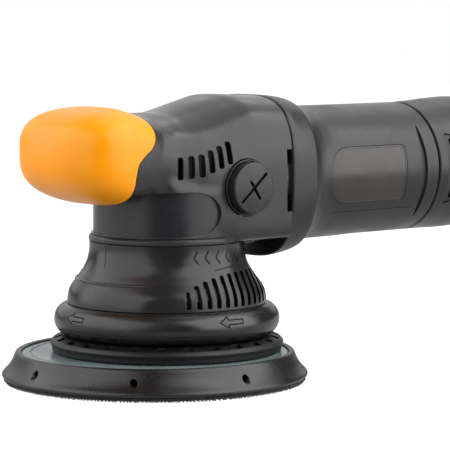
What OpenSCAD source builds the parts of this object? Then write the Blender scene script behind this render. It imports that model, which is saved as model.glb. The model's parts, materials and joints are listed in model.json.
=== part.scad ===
// Dual action (random orbit) polisher.
// Z is the spindle axis, z = 0 is the hook face of the backing plate,
// and the motor lies along +X at height motor_z.

/* [Backing plate] */
// Diameter of the backing plate at its rim
plate_d = 150; // [148:0.5:150]
// Thickness of the hook layer
hook_t = 2.2; // [1.8:0.1:2.4]
// Offset of the plate axis from the spindle axis: half of the orbit diameter
orbit_r = 7.5; // [7:0.1:7.5]
// Number of air holes round the rim
rim_holes = 8; // [6:1:8]

/* [Throat] */
// Outer radius of the rubber bumper ring
bumper_r = 55.5; // [55:0.1:56]
// Number of slots in the anti-spin skirt
skirt_slots = 26; // [20:1:28]
// Number of outlet slots on each side of the shroud
outlet_slots = 12; // [8:1:12]

/* [Body] */
// Height of the motor axis above the hook face
motor_z = 98; // [97.8:0.1:98.2]
// Outer radius of the motor housing
motor_r = 33.8; // [33.7:0.1:34]
// Half width of the head cover
head_w = 37.5; // [37.3:0.1:37.7]
// Wall thickness of the plastic shells
wall = 2.6; // [2.4:0.1:2.6]
// x of the seam between the motor housing and the rear handle
seam_x = 155; // [154.8:0.1:155.2]
// x of the rear end of the handle
handle_end_x = 292; // [290:1:294]

/* [Cord inlet] */
// Bore of the cord gland, for an 8 mm cord
cord_bore_d = 8.2; // [8:0.1:8.6]

/* [Hidden] */
$fn = 64;
gap = 0.3;                 // clearance kept between neighbouring bodies
fit = 0.03;                // radial running clearance of shafts in their bearings
collar_x = 49.6;           // front face of the motor housing collar
flange_x = 44;             // front face of the gearcase's motor flange
screw_ring_r = 30.6;       // circle of the screws that hold flange and shroud
neck_r = 36;               // outer radius of the head's round neck
flange_r = 38.2;           // radius of the bearing flange between neck and shroud
flange_z = [68.4, 71.6];   // its underside and top
disc_top_z = 14;           // top face of the hard disc
loft_n = 40;               // points round each loft ring
gear_teeth = 36;           // teeth on the large bevel gear
pinion_teeth = 9;          // teeth on the motor pinion
gear_pitch_r = 23.4;       // pitch radius of the large bevel gear
pinion_pitch_r = gear_pitch_r * pinion_teeth / gear_teeth;
armature_r = 17.4;         // radius of the armature's core

// ---- section functions --------------------------------------------------

// Slope of table T's column k at row i, flat at turning points
function slope(T, i, k) = (i == 0 || i == len(T) - 1) ? 0 :
    let (a = (T[i][k] - T[i - 1][k]) / (T[i][0] - T[i - 1][0]),
         b = (T[i + 1][k] - T[i][k]) / (T[i + 1][0] - T[i][0]))
    a * b <= 0 ? 0 : 2 * a * b / (a + b);

// Row of table T that starts the span holding x
function span_of(T, x) = max([for (i = [0 : len(T) - 2]) if (i == 0 || T[i][0] <= x) i]);

// Smooth value of column k of table T at x
function smooth(T, x, k) = let (
    i = span_of(T, x), h = T[i + 1][0] - T[i][0], t = min(1, max(0, (x - T[i][0]) / h)),
    m0 = slope(T, i, k), m1 = slope(T, i + 1, k))
    (2 * pow(t, 3) - 3 * pow(t, 2) + 1) * T[i][k] + (pow(t, 3) - 2 * pow(t, 2) + t) * h * m0
    + (3 * pow(t, 2) - 2 * pow(t, 3)) * T[i + 1][k] + (pow(t, 3) - pow(t, 2)) * h * m1;

// Signed power, for superellipses
function spow(v, e) = sign(v) * pow(abs(v), e);

// One superellipse ring in the plane x: bottom zb, top zt, half width w, its middle at
// height zm, upper exponent nu and lower exponent nl. a0 and a1 limit it to an arc.
function ring(x, zb, zt, w, zm, nu, nl, a0 = 0, a1 = 360, m = loft_n) =
    [for (i = [0 : (a1 - a0 == 360 ? m - 1 : m)])
        let (a = a0 + (a1 - a0) * i / m, e = 2 / (sin(a) >= 0 ? nu : nl))
        [x, w * spow(cos(a), e), zm + (sin(a) >= 0 ? zt - zm : zm - zb) * spow(sin(a), e)]];

// Closed solid through rings of equal point count, with flat ends
module skin(rings) {
    m = len(rings[0]);
    k = len(rings);
    points = [for (r = rings) for (p = r) p];
    sides = [for (j = [0 : k - 2]) for (i = [0 : m - 1])
        let (a = j * m + i, b = j * m + (i + 1) % m)
        each [[a, b + m, b], [a, a + m, b + m]]];
    front = [[for (i = [0 : m - 1]) i]];
    back = [[for (i = [m - 1 : -1 : 0]) (k - 1) * m + i]];
    polyhedron(points, concat(front, sides, back), convexity = 6);
}

// Loft of a station table (x, zb, zt, w, zm, nu, nl), grown by g all round
module loft(T, xs, g = 0) {
    skin([for (x = xs) ring(x, smooth(T, x, 1) - g, smooth(T, x, 2) + g, smooth(T, x, 3) + g,
        smooth(T, x, 4), smooth(T, x, 5), smooth(T, x, 6))]);
}

// ---- shared pieces ------------------------------------------------------

module along_x() { rotate([0, 90, 0]) children(); }

module mirror_copy(v) {
    children();
    mirror(v) children();
}

module ring_body(r_out, r_in, h) {
    difference() {
        cylinder(r = r_out, h = h);
        translate([0, 0, -1]) cylinder(r = r_in, h = h + 2);
    }
}

// Deep groove ball bearing standing on z = 0: two rings and the balls between them
module ball_bearing(r_out, r_in, h, balls = 8) {
    race = (r_out - r_in) * 0.28;
    mid = (r_out + r_in) / 2;
    ball = (r_out - r_in) / 2 - race + 0.25;
    difference() {
        ring_body(r_out, r_out - race, h);
        translate([0, 0, h / 2]) rotate_extrude() translate([mid, 0]) circle(r = ball + 0.02);
    }
    difference() {
        ring_body(r_in + race, r_in, h);
        translate([0, 0, h / 2]) rotate_extrude() translate([mid, 0]) circle(r = ball + 0.02);
    }
    for (i = [0 : balls - 1])
        rotate([0, 0, i * 360 / balls]) translate([mid, 0, h / 2]) sphere(r = ball);
}

// Cross head screw with its head's face at z = 0 and its shank pointing up
module screw(d, length, head_d, head_h) {
    difference() {
        union() {
            cylinder(d = head_d, h = head_h);
            cylinder(d = d, h = head_h + length);
        }
        for (a = [0, 90])
            rotate([0, 0, a]) cube([head_d * 0.6, head_d * 0.16, head_h], center = true);
    }
}

// Puts its child at each of n places on a circle of radius r round Z
module around(n, r, a0 = 0) {
    for (i = [0 : n - 1]) rotate([0, 0, a0 + i * 360 / n]) translate([r, 0, 0]) children();
}

// ---- head ---------------------------------------------------------------

// Behind cheek_x the cover's side walls reach down past the bearing flange to cheek_z, and
// their inner faces stand cheek_y from the middle
cheek_x = 6;
cheek_y = 33;
cheek_z = flange_z[0] + 0.2;

// Stations of the head: x, bottom, top, half width, middle height, upper and lower exponent
HEAD = [
    [-44, 87.8, 135, 34, 113.2, 3.4, 3.4],
    [-38, 88, 133.6, 33.8, 112.5, 3.2, 3.2],
    [-32, 88.4, 132.4, 33, 111.5, 2.9, 2.9],
    [-25, 87, 131.4, 32, 109.5, 2.6, 2.7],
    [-18, 83.5, 131.2, 32, 107, 2.5, 3],
    [-10, 79, 131.3, 33.8, 104, 2.4, 3.4],
    [0, 70.5, 133.2, 36.8, 100, 2.3, 5],
    [5, cheek_z, 134.4, head_w, 98, 2.35, 8],
    [20, cheek_z, 137.6, head_w, 98, 2.7, 14],
    [30, cheek_z, 139.2, head_w, 98, 3, 14],
    [collar_x - gap, cheek_z, 138.4, head_w, 98, 3.2, 14]];

// The knob's round nose, in front of the first station: its underside climbs by nose_lift
// and its top drops by nose_drop towards the tip, while its sides swell by nose_swell
nose_x = HEAD[0][0];
nose_l = 30.5;
nose_n = 2.43;
nose_lift = 4.1;
nose_drop = 1;
nose_swell = 0.2;
function nose_ring(t, g) = let (s = max(0.03, pow(1 - pow(t, nose_n), 1 / nose_n)), zm = HEAD[0][4])
    ring(nose_x - nose_l * t, zm - (zm - HEAD[0][1] - nose_lift * t) * s - g,
        zm + (HEAD[0][2] - nose_drop * t - zm) * s + g,
        HEAD[0][3] * s * (1 + nose_swell * t) + g, zm, HEAD[0][5], HEAD[0][6]);

module head_loft(g = 0) {
    skin(concat(
        [for (a = [0 : 15 : 75]) nose_ring(cos(a), g)],
        [for (x = [nose_x, -41, -38, -35, -32, -28.5, -25, -21.5, -18, -14, -10, -5, 0, 2.5, 5,
            9, 14, 20, 26, 32, 40, collar_x - gap])
            ring(x, smooth(HEAD, x, 1) - g, smooth(HEAD, x, 2) + g, smooth(HEAD, x, 3) + g,
                smooth(HEAD, x, 4), smooth(HEAD, x, 5), smooth(HEAD, x, 6))]));
}

// Side view of the knob's rubber, whose rear edge waves round the waist
module knob_side(grow = 0) {
    rotate([90, 0, 0]) linear_extrude(height = 90, center = true) polygon([
        [-95, 80], [-57.5 + grow, 80], [-49 + grow, 90.4], [-45 + grow, 93.5],
        [-44.8 + grow, 104], [-42.4 + grow, 110], [-36 + grow, 115.4], [-32.4 + grow, 120],
        [-32 + grow, 125.4], [-34 + grow, 130], [-37.5 + grow, 133], [-41.5 + grow, 140],
        [-95, 140]]);
}

// Stub of the head cover that the knob's rubber is moulded on
module knob_core(g = 0) {
    translate([-66 - g, 0, 112]) along_x() cylinder(r = 15 + g, h = 42 + 2 * g);
}

module front_knob() {
    color("orange") difference() {
        intersection() {
            head_loft();
            knob_side();
        }
        knob_core(0.02);
    }
}

// Room inside the head cover for the gearcase, g larger all round
module gearcase_form(g = 0) {
    rotate_extrude() polygon([[0, flange_z[1] - 12 * g], [32.7 + g, flange_z[1] - 12 * g],
        [32.7 + g, 110 + g], [30.5 + g, 116 + g], [25 + g, 121 + g], [17 + g, 125.5 + g],
        [0, 125.5 + g]]);
    translate([0, 0, motor_z]) along_x() cylinder(r = 32.7 + g, h = 45);
    translate([flange_x - g, 0, motor_z]) along_x() cylinder(r = 34.5 + g, h = 5.6 + 2 * g);
    housing_bolts() translate([0, 0, flange_x - g]) cylinder(r = 3.6 + g, h = 5.6 + 2 * g);
}

// The four places round the motor axis where the housing is bolted to the gearcase
module housing_bolts() {
    translate([0, 0, motor_z]) along_x() around(4, 36.2, 45) children();
}

module head_cover() {
    color([0.28, 0.28, 0.29]) difference() {
        union() {
            difference() {
                head_loft();
                knob_side(0.05);
            }
            knob_core();
            translate([0, 0, flange_z[1] + gap]) cylinder(r = neck_r, h = 26);
        }
        translate([-100, -50, 60]) cube([100 + cheek_x, 100, flange_z[1] + gap - 60]);
        gearcase_form(gap);
        translate([0, -cheek_y, 60]) cube([60, 2 * cheek_y, motor_z - 60]);
        housing_bolts() translate([0, 0, flange_x - 6]) cylinder(r = 3.9, h = 20);
        pill_recess();
        mirror_copy([0, 1, 0]) head_slots();
        mirror_copy([0, 1, 0]) plug_hole(14);
        mirror_copy([0, 1, 0]) translate([45.6, -40, 82]) cube([6, 8, 30.6]);
    }
}

// Recess round the front of the neck, with a round end at each side
module pill_recess() {
    intersection() {
        difference() {
            translate([0, 0, 73]) cylinder(r = 60, h = 20.6);
            translate([0, 0, 72]) cylinder(r = neck_r - 0.6, h = 23);
        }
        rotate([90, 0, 0]) linear_extrude(height = 100, center = true) {
            translate([-35.5, 73]) square([32, 20.6]);
            translate([-3.8, 83.3]) circle(r = 10.3);
        }
    }
}

// Six slots: the first three stand nearly level, the others step up towards the side plug
module head_slots() {
    rise = [0, 0.5, 1, 2.9, 4.8, 6.7];
    for (i = [0 : 5]) translate([-20.4 + 6 * i, -45, 100.6 + rise[i]]) cube([2.3, 22, 10.6]);
}

plug_x = 20;
plug_z = 95.3;

module plug_hole(r) {
    translate([plug_x, -25, plug_z]) rotate([90, 0, 0]) cylinder(r = r, h = 20);
}

// Threaded plug in the side handle hole, with a cross slot in its face
module side_plug() {
    translate([plug_x, -31.5, plug_z]) rotate([90, 0, 0]) difference() {
        union() {
            cylinder(r = 7, h = 2);
            translate([0, 0, 2]) cylinder(r = 13.7, h = 5);
            translate([0, 0, 7]) cylinder(r = 12.5, h = 3.8);
            translate([0, 0, 10.8]) cylinder(r1 = 12.5, r2 = 11.8, h = 0.7);
        }
        for (a = [38, 128])
            rotate([0, 0, a]) translate([0, 0, 11]) cube([21, 1.8, 2.6], center = true);
    }
}

module side_plug_left() { color([0.3, 0.3, 0.31]) side_plug(); }
module side_plug_right() { color([0.3, 0.3, 0.31]) mirror([0, 1, 0]) side_plug(); }

upper_seat_z = 106;
module gearcase() {
    color("silver") difference() {
        gearcase_form();
        translate([0, 0, 50]) cylinder(r = flange_r + 0.1, h = flange_z[1] - 50);
        translate([0, 0, 60]) cylinder(r = 28.5, h = 44);
        translate([0, 0, 60]) cylinder(r = 16 + fit, h = upper_seat_z + 10 - 60);
        translate([0, 0, 60]) cylinder(r = 13, h = 60);
        translate([10, 0, motor_z]) along_x() cylinder(r = 13.5, h = 26);
        translate([30, 0, motor_z]) along_x() cylinder(r = 16 + fit, h = 30);
        mirror_copy([0, 1, 0]) plug_hole(7.05);
        around(4, screw_ring_r, 45) translate([0, 0, 70]) cylinder(r = 1.5, h = 16);
        housing_bolts() cylinder(r = 1.6, h = 60);
    }
}

// Closes the gearcase from below and seats the lower spindle bearing
lower_seat_z = 57;
module bearing_flange() {
    color([0.33, 0.33, 0.34]) difference() {
        union() {
            translate([0, 0, flange_z[0]]) cylinder(r = flange_r, h = flange_z[1] - flange_z[0]);
            translate([0, 0, 54]) cylinder(r = 24, h = 16);
        }
        mirror_copy([0, 1, 0]) translate([cheek_x - 0.1, -50, 60]) cube([60, 50.3 - cheek_y, 20]);
        translate([0, 0, 50]) cylinder(r = 20 + fit, h = lower_seat_z + 12 - 50);
        translate([0, 0, 50]) cylinder(r = 17, h = 30);
        around(4, screw_ring_r, 45) translate([0, 0, 60]) cylinder(r = 1.75, h = 20);
        around(4, screw_ring_r) translate([0, 0, 60]) cylinder(r = 1.5, h = 10.6);
    }
}

module flange_screws() {
    color("dimgray") around(4, screw_ring_r, 45)
        translate([0, 0, flange_z[0] - 2.2]) screw(2.9, 16, 6, 2.2);
}

module spindle_upper_bearing() {
    color("gainsboro") translate([0, 0, upper_seat_z]) ball_bearing(16, 6, 10);
}

module spindle_lower_bearing() {
    color("gainsboro") translate([0, 0, lower_seat_z]) ball_bearing(20, 8.5, 12);
}

// Felt ring under the lower bearing that keeps dust out
module dust_seal() {
    color("peru") translate([0, 0, 54]) ring_body(20, 9, 3);
}

// ---- throat -------------------------------------------------------------

foot_wall = 2;             // wall of the shroud's straight foot
ledge_wall = 4.2;          // wall under the ledge above the foot

// Outside of the shroud: radius and height pairs, from its foot to its lip
shroud_line = [[46.4, 22.1], [46.6, 38], [49, 38.2], [48.8, 41], [48.2, 44.2], [47, 46.6],
    [45.6, 48.6], [44.1, 50.6], [42.7, 52.6], [41.3, 54.6], [40.2, 56.7], [39.3, 58.8],
    [38.7, 61], [38.2, 63.5], [38, 66], [38, flange_z[0]]];

module shroud() {
    n = len(shroud_line);
    color([0.26, 0.26, 0.27]) difference() {
        union() {
            rotate_extrude() polygon(concat(shroud_line, [for (i = [n - 1 : -1 : 0])
                [shroud_line[i][0] - (i > 2 ? wall : i == 2 ? ledge_wall : foot_wall),
                    shroud_line[i][1]]]));
            around(4, screw_ring_r) translate([0, 0, 60]) difference() {
                translate([-4.4, -4.5, 0]) cube([10.8, 9, flange_z[0] - 60]);
                translate([0, 0, -1]) cylinder(r = 1.75, h = 20);
            }
        }
        outlets();
        mirror([0, 1, 0]) outlets();
    }
}

// A row of upright slots, cut straight through from the side, whose tops climb to the rear
module outlets() {
    slot_w = 2.4;
    foot_z = 39.5;
    top_z = 56;
    for (i = [0 : outlet_slots - 1])
        translate([5 * i - 21.6 - slot_w / 2, -60, foot_z])
            cube([slot_w, 40, top_z - 8.4 * pow(0.68, i) - foot_z]);
}

module shroud_screws() {
    color("dimgray") around(4, screw_ring_r) translate([0, 0, 57.8]) screw(2.9, 10, 6, 2.2);
}

// Rubber ring that guards paintwork round the shroud's foot
module bumper_ring() {
    half_h = 7.9;
    z = 30.2;
    color([0.14, 0.13, 0.13]) translate([0, 0, z]) rotate_extrude() polygon(concat(
        [for (a = [-90 : 10 : 90]) [bumper_r - half_h + half_h * cos(a), half_h * sin(a)]],
        [[46.7, 6.4], [46.7, -5.8]]));
}

// Slotted rubber skirt that brakes free spin of the plate
module skirt() {
    color([0.12, 0.12, 0.12]) difference() {
        rotate_extrude() polygon([[44.3, 22], [50.6, 22], [52, 21.9], [55.8, 20.8], [57.2, 19.8],
            [57.6, 18.6], [57, 17.4], [56.5, 17], [56.3, 14.6], [54.3, 14.6], [54.3, 16.6],
            [44.3, 18.4]]);
        for (i = [0 : skirt_slots - 1]) rotate([0, 0, i * 360 / skirt_slots])
            translate([51.6, -1.4, 15]) cube([3.4, 2.8, 14]);
    }
}

// ---- spindle and eccentric ----------------------------------------------

gear_z = 83;               // underside of the bevel gear
module spindle() {
    color("lightsteelblue") {
        translate([0, 0, 46]) cylinder(r = 13, h = 5);
        translate([0, 0, 51]) cylinder(r = 9.5 - 0.6, h = 6);
        translate([0, 0, 57]) cylinder(r = 8.5 - fit, h = 13);
        translate([0, 0, 70]) cylinder(r = 7.5, h = 28);
        translate([0, 0, 98]) cylinder(r = 6 - fit, h = 19);
    }
}

cone = atan(pinion_pitch_r / gear_pitch_r);
tooth_l = 6.4;
module bevel_gear() {
    root_z = motor_z - pinion_pitch_r - 1.4;
    color("slategray") difference() {
        union() {
            translate([0, 0, 79]) cylinder(r = 12, h = 5);
            translate([0, 0, gear_z]) rotate_extrude() polygon([[7, 0], [20, 0],
                [gear_pitch_r + 1, 3.4], [gear_pitch_r + 0.6, root_z - gear_z - 0.1],
                [gear_pitch_r - 6.6, root_z - gear_z + 1.5], [7, root_z - gear_z + 1.5]]);
            for (i = [0 : gear_teeth - 1]) rotate([0, 0, (i + 0.5) * 360 / gear_teeth])
                translate([gear_pitch_r + 0.2, 0, root_z - 0.6]) rotate([0, -90 + cone, 0])
                    rotate([0, 0, 90]) linear_extrude(height = tooth_l)
                        polygon([[-0.95, -0.6], [0.95, -0.6], [0.45, 2.1], [-0.45, 2.1]]);
        }
        translate([0, 0, 70]) cylinder(r = 7.5, h = 40);
    }
}

module gear_circlip() {
    color("dimgray") translate([0, 0, motor_z - 3.4]) ring_body(9.6, 7.5, 1.2);
}

// Bearing barrel of the plate shaft, hung under the spindle by its web
barrel_z = 20;
module eccentric() {
    color("gray") difference() {
        union() {
            translate([-orbit_r, 0, barrel_z]) cylinder(r = 19, h = 26);
            translate([0, 0, 40]) cylinder(r = 25, h = 6);
            translate([0, -16, 40]) cube([34, 32, 6]);
        }
        translate([-orbit_r, 0, barrel_z - 1]) cylinder(r = 14 + fit, h = 21.2);
        translate([-orbit_r, 0, barrel_z + 5]) cylinder(r = 11, h = 18);
        translate([-orbit_r, 0, barrel_z + 1.2]) ring_body(14.7, 13, 1.2);
        for (s = [-1, 1]) translate([29, s * 9, 30]) cylinder(r = 2, h = 20);
    }
}

// Half-round steel weight opposite the plate's offset
module counterweight() {
    color("darkgray") difference() {
        intersection() {
            translate([0, 0, 25]) ring_body(41, 20.5, 15);
            translate([11.6, -50, 20]) cube([50, 100, 30]);
        }
        translate([-orbit_r, 0, 20]) cylinder(r = 19.4, h = 30);
        for (s = [-1, 1]) translate([29, s * 9, 20]) cylinder(r = 2, h = 30);
    }
}

module counterweight_screws() {
    color("dimgray") for (s = [-1, 1]) translate([29, s * 9, 22.6]) screw(3.9, 21, 7, 2.4);
}

module plate_bearings() {
    color("gainsboro") for (z = [barrel_z + 2.6, barrel_z + 11.6])
        translate([-orbit_r, 0, z]) ball_bearing(14, 6, 8);
}

module bearing_circlip() {
    color("dimgray") translate([-orbit_r, 0, barrel_z + 1.25]) ring_body(14.6, 12.4, 1.1);
}

// ---- backing plate ------------------------------------------------------

module at_plate() { translate([-orbit_r, 0, 0]) children(); }

module plate_shaft() {
    color("lightsteelblue") at_plate() difference() {
        union() {
            translate([0, 0, 16]) cylinder(r = 11, h = 3.4);
            translate([0, 0, 19]) cylinder(r = 8.4, h = 3.2);
            translate([0, 0, 22]) cylinder(r = 6 - fit, h = 19);
        }
        translate([0, 0, 15]) cylinder(r = 4, h = 15);
    }
}

module plate_hub() {
    color("silver") at_plate() difference() {
        union() {
            translate([0, 0, 8]) cylinder(r = 20, h = 2);
            translate([0, 0, 10]) cylinder(r = 12, h = 6);
        }
        translate([0, 0, 7]) cylinder(r = 4.2, h = 10);
    }
}

module plate_bolt() {
    color("dimgray") at_plate() difference() {
        union() {
            translate([0, 0, 3]) cylinder(r = 6.5, h = 3.6);
            translate([0, 0, 6.6]) cylinder(r = 3.97, h = 20);
        }
        translate([0, 0, 2]) cylinder(r = 3.4, h = 3.4, $fn = 6);
    }
}

module plate_washer() {
    color("silver") at_plate() translate([0, 0, 6.6]) ring_body(7.6, 4.1, 1.4);
}

module backing_disc() {
    color([0.5, 0.6, 0.59]) at_plate() translate([0, 0, 10])
        ring_body(65.3, 12.05, disc_top_z - 10);
}

// Soft rim of the plate: it flares in a hollow curve to the hook layer
rim_line = [[74.2, hook_t], [75, 3.1], [75, 4], [74.2, 5], [72.6, 6.6], [71.2, 8.4],
    [70, 10.4], [69, 12.4], [68.4, 14], [67.6, 14.9], [66.4, 15], [65.5, 14.4]];
module plate_cushion() {
    color([0.15, 0.14, 0.14]) at_plate() difference() {
        rotate_extrude() polygon(concat([for (p = rim_line) [p[0] + (plate_d - 150) / 2, p[1]]],
            [[65.4, 10], [20.2, 10], [20.2, 8], [8, 8], [8, hook_t]]));
        for (i = [0 : rim_holes - 1]) rotate([0, 0, i * 360 / rim_holes - 1.5])
            translate([65.6, 0, 9]) along_x() cylinder(r = 1.9, h = 20);
    }
}

module hook_face() {
    color([0.07, 0.07, 0.07]) at_plate() ring_body((plate_d - 1.6) / 2, 6.7, hook_t);
}

// ---- motor --------------------------------------------------------------

// Stations of the collar, where the square head section turns into the round motor housing
COLLAR = [
    [collar_x, 57.4, 137.8, 37.2, motor_z, 3.2, 3.2],
    [51.6, 56.4, 138.6, 38, motor_z, 3.2, 3.2],
    [61, 56.6, 137.8, 38, motor_z, 2.8, 3],
    [68, 57.3, 136.4, 36.4, motor_z, 2.5, 2.8],
    [76, 58.2, 134.4, 34.6, motor_z, 2.3, 2.6],
    [84, 59.4, 132.6, 34, motor_z, 2.1, 2.3],
    [90, 62.4, 132.1, motor_r + 0.3, motor_z, 2, 2.1],
    [94, motor_z - motor_r - 0.25, motor_z + motor_r + 0.25, motor_r + 0.25, motor_z, 2, 2]];

motor_bore_r = 31;
rear_bearing_x = 141;

module motor_housing() {
    color([0.3, 0.3, 0.31]) difference() {
        union() {
            loft(COLLAR, [collar_x, 50.4, 51.6, 56, 61, 64, 68, 72, 76, 80, 84, 87, 90, 94]);
            in_motor(80) cylinder(r = motor_r, h = seam_x - 80);
            in_motor(seam_x - 1) cylinder(r = 31, h = 6);
        }
        housing_bolts() translate([0, 0, collar_x - 1]) cylinder(r = 1.5, h = 12);
        translate([collar_x - 1, 0, motor_z]) along_x() cylinder(r = motor_bore_r, h = 140 - collar_x);
        translate([100, 0, motor_z]) along_x() cylinder(r = 11 + fit, h = rear_bearing_x + 7 - 100);
        in_motor(149) cylinder(r = 28.5, h = 20);
        translate([100, 0, motor_z]) along_x() cylinder(r = 8.4, h = 60);
        for (a = [0 : 45 : 315]) translate([120, 0, motor_z]) rotate([a, 0, 0])
            translate([0, -4.5, 15]) cube([40, 9, 12]);
        label_recess();
        mirror([0, 1, 0]) label_recess();
        mirror_copy([0, 1, 0]) rear_crease();
    }
}

// Outline of the label panel, seen from the side: its front corners are rounder
label_x = [79.5, 131.5];
label_z = [83, 112.8];
module label_outline(grow = 0) {
    x0 = label_x[0] - grow;
    x1 = label_x[1] + grow;
    z0 = label_z[0] - grow;
    z1 = label_z[1] + grow;
    function corner(cx, cz, r, a0) =
        [for (a = [a0 : 15 : a0 + 90]) [cx + r * cos(a), cz + r * sin(a)]];
    polygon(concat(corner(x1 - 3, z1 - 3, 3, 0), corner(x0 + 10, z1 - 10, 10, 90),
        corner(x0 + 10, z0 + 10, 10, 180), corner(x1 - 3, z0 + 3, 3, 270)));
}

module label_recess() {
    intersection() {
        translate([70, 0, motor_z]) along_x() ring_body(40, motor_r - 1, 70);
        translate([0, -20, 0]) rotate([90, 0, 0]) linear_extrude(height = 30) label_outline(0.15);
    }
}

module label_panel() {
    intersection() {
        translate([70, 0, motor_z]) along_x() ring_body(motor_r - 0.2, motor_r - 0.98, 70);
        translate([0, -20, 0]) rotate([90, 0, 0]) linear_extrude(height = 30) label_outline();
    }
}

module label_panels() {
    color([0.42, 0.4, 0.39]) mirror_copy([0, 1, 0]) label_panel();
}

// Finger groove behind the label
module rear_crease() {
    intersection() {
        translate([141.6, 0, motor_z]) along_x() ring_body(40, motor_r - 0.9, 3.2);
        translate([120, -60, 76]) cube([40, 50, 44]);
    }
}

module housing_screws() {
    color("dimgray") housing_bolts() translate([0, 0, flange_x - 2.6]) screw(2.9, 16, 6, 2.6);
}

module in_motor(x) { translate([x, 0, motor_z]) along_x() children(); }

module stator_core() {
    color("lightslategray") in_motor(72) difference() {
        cylinder(r = motor_bore_r - 0.05, h = 44);
        translate([0, 0, -1]) cylinder(r = armature_r + 0.6, h = 46);
        for (s = [-1, 1]) translate([-19, s * 21 - 4.5, -1]) cube([38, 9, 46]);
    }
}

// Two field coils, each wound through the slots beside a pole
module field_coils() {
    color("chocolate") in_motor(64) for (s = [-1, 1]) intersection() {
        ring_body(motor_bore_r - 1.6, armature_r + 1.6, 57);
        translate([-18.6, s * 21 - 4.2, 0]) cube([37.2, 8.4, 57]);
    }
}

module fan_baffle() {
    color("black") in_motor(61.4) ring_body(motor_bore_r - 0.05, 22, 1.8);
}

module front_motor_bearing() {
    color("gainsboro") in_motor(36) ball_bearing(16, 6, 10);
}

module rear_motor_bearing() {
    color("gainsboro") in_motor(rear_bearing_x) ball_bearing(11, 4, 7, 7);
}

// Brass boxes that guide the brushes to the commutator
brush_x = 128;
module brush_holders() {
    color("gold") for (s = [-1, 1]) translate([brush_x, s * 21.85, motor_z]) difference() {
        cube([10.4, 17.1, 10.4], center = true);
        cube([8.1, 20, 6.1], center = true);
    }
}

module carbon_brushes() {
    color([0.2, 0.2, 0.2]) for (s = [-1, 1]) translate([brush_x, s * 17.6, motor_z])
        cube([8, 10, 6], center = true);
}

module brush_springs() {
    color("darkgray") for (s = [-1, 1]) for (i = [0 : 3])
        translate([brush_x, s * (23.4 + 1.4 * i), motor_z]) rotate([90, 0, 0])
            rotate_extrude() translate([2, 0]) circle(r = 0.5);
}

module armature_shaft() {
    color("lightsteelblue") {
        in_motor(30) cylinder(r = 5, h = 6);
        in_motor(36) cylinder(r = 6 - fit, h = 11);
        in_motor(47) cylinder(r = 5, h = 94);
        in_motor(141) cylinder(r = 4 - fit, h = 7);
    }
}

// Pinion in front of the armature shaft, in mesh with the bevel gear
module pinion() {
    root_r = pinion_pitch_r - 1.5;
    color("slategray") {
        in_motor(gear_pitch_r - 6.6) cylinder(r1 = root_r - 0.9, r2 = root_r, h = 7.6);
        in_motor(gear_pitch_r + 1) cylinder(r = 7.4, h = 29 - gear_pitch_r);
        for (i = [0 : pinion_teeth - 1]) translate([gear_pitch_r - 6.3, 0, motor_z])
            rotate([i * 360 / pinion_teeth, 0, 0]) rotate([0, 90 - cone / 2, 0])
                rotate([0, 0, 90]) linear_extrude(height = 7)
                    polygon([[-0.8, 0], [0.8, 0], [0.8, root_r - 0.6], [0.35, root_r + 0.7],
                        [-0.35, root_r + 0.7], [-0.8, root_r - 0.6]]);
    }
}

module armature_core() {
    slots = 12;
    color("lightslategray") in_motor(74) difference() {
        ring_body(armature_r, 5, 40);
        for (i = [0 : slots - 1]) rotate([0, 0, i * 360 / slots])
            translate([armature_r - 7, -1.6, -1]) cube([8, 3.2, 42]);
    }
}

module armature_windings() {
    color("chocolate") {
        in_motor(67) ring_body(14.6, 5, 7);
        in_motor(114) ring_body(14.6, 5, 6);
    }
}

module commutator() {
    bars = 24;
    color("peru") in_motor(120.5) difference() {
        ring_body(12.4, 5, 15);
        for (i = [0 : bars - 1]) rotate([0, 0, i * 360 / bars])
            translate([11.4, -0.25, 2]) cube([2, 0.5, 14]);
    }
}

module motor_fan() {
    blades = 11;
    color("white") {
        in_motor(52) ring_body(9, 5, 8.6);
        in_motor(52) ring_body(27.6, 9, 1.4);
        for (i = [0 : blades - 1]) in_motor(53) rotate([0, 0, i * 360 / blades])
            translate([11, 0, 0]) rotate([0, 0, 18]) translate([0, -0.6, 0]) cube([15.4, 1.2, 7.4]);
    }
}

// ---- rear handle --------------------------------------------------------

// Stations of the handle, from the seam to its closed rear end
HANDLE = [
    [seam_x + gap, motor_z - motor_r, motor_z + motor_r, motor_r, motor_z, 2, 2],
    [167, 64.2, 132.4, 34, motor_z, 2, 2],
    [180, 64, 133.3, 34.2, 98.4, 2.05, 2.05],
    [192, 64.4, 133.8, 33.6, 98.6, 2.1, 2.1],
    [206, 68.6, 132.4, 30.6, 99.4, 2.2, 2.2],
    [222, 74.2, 129.2, 27, 101, 2.3, 2.3],
    [240, 75.6, 127.2, 25.2, 101.4, 2.35, 2.35],
    [262, 74.4, 128, 25.6, 101.2, 2.35, 2.35],
    [278, 72, 129.4, 26.8, 100.8, 2.3, 2.3],
    [handle_end_x - 4, 71.6, 129.2, 27, 100.6, 2.3, 2.3],
    [handle_end_x, 76.4, 125, 23, 100.6, 2.3, 2.3]];
handle_xs = [seam_x + gap, 161, 167, 173, 180, 186, 192, 199, 206, 214, 222, 231, 240, 251, 262,
    270, 278, 284, handle_end_x - 4, handle_end_x - 1.5, handle_end_x];

module handle_shell() {
    difference() {
        loft(HANDLE, handle_xs);
        handle_hollow();
    }
}

// The hollow ends short of the rear wall, where the outside is still at full size
module handle_hollow() {
    skin([for (x = [seam_x - 2, 161, 167, 173, 180, 190, 200, 212, 224, 240, 260, 274, 282,
        handle_end_x - 4]) ring(x, smooth(HANDLE, x, 1) + wall, smooth(HANDLE, x, 2) - wall,
        smooth(HANDLE, x, 3) - wall, smooth(HANDLE, x, 4), smooth(HANDLE, x, 5),
        smooth(HANDLE, x, 6))]);
}

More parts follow.
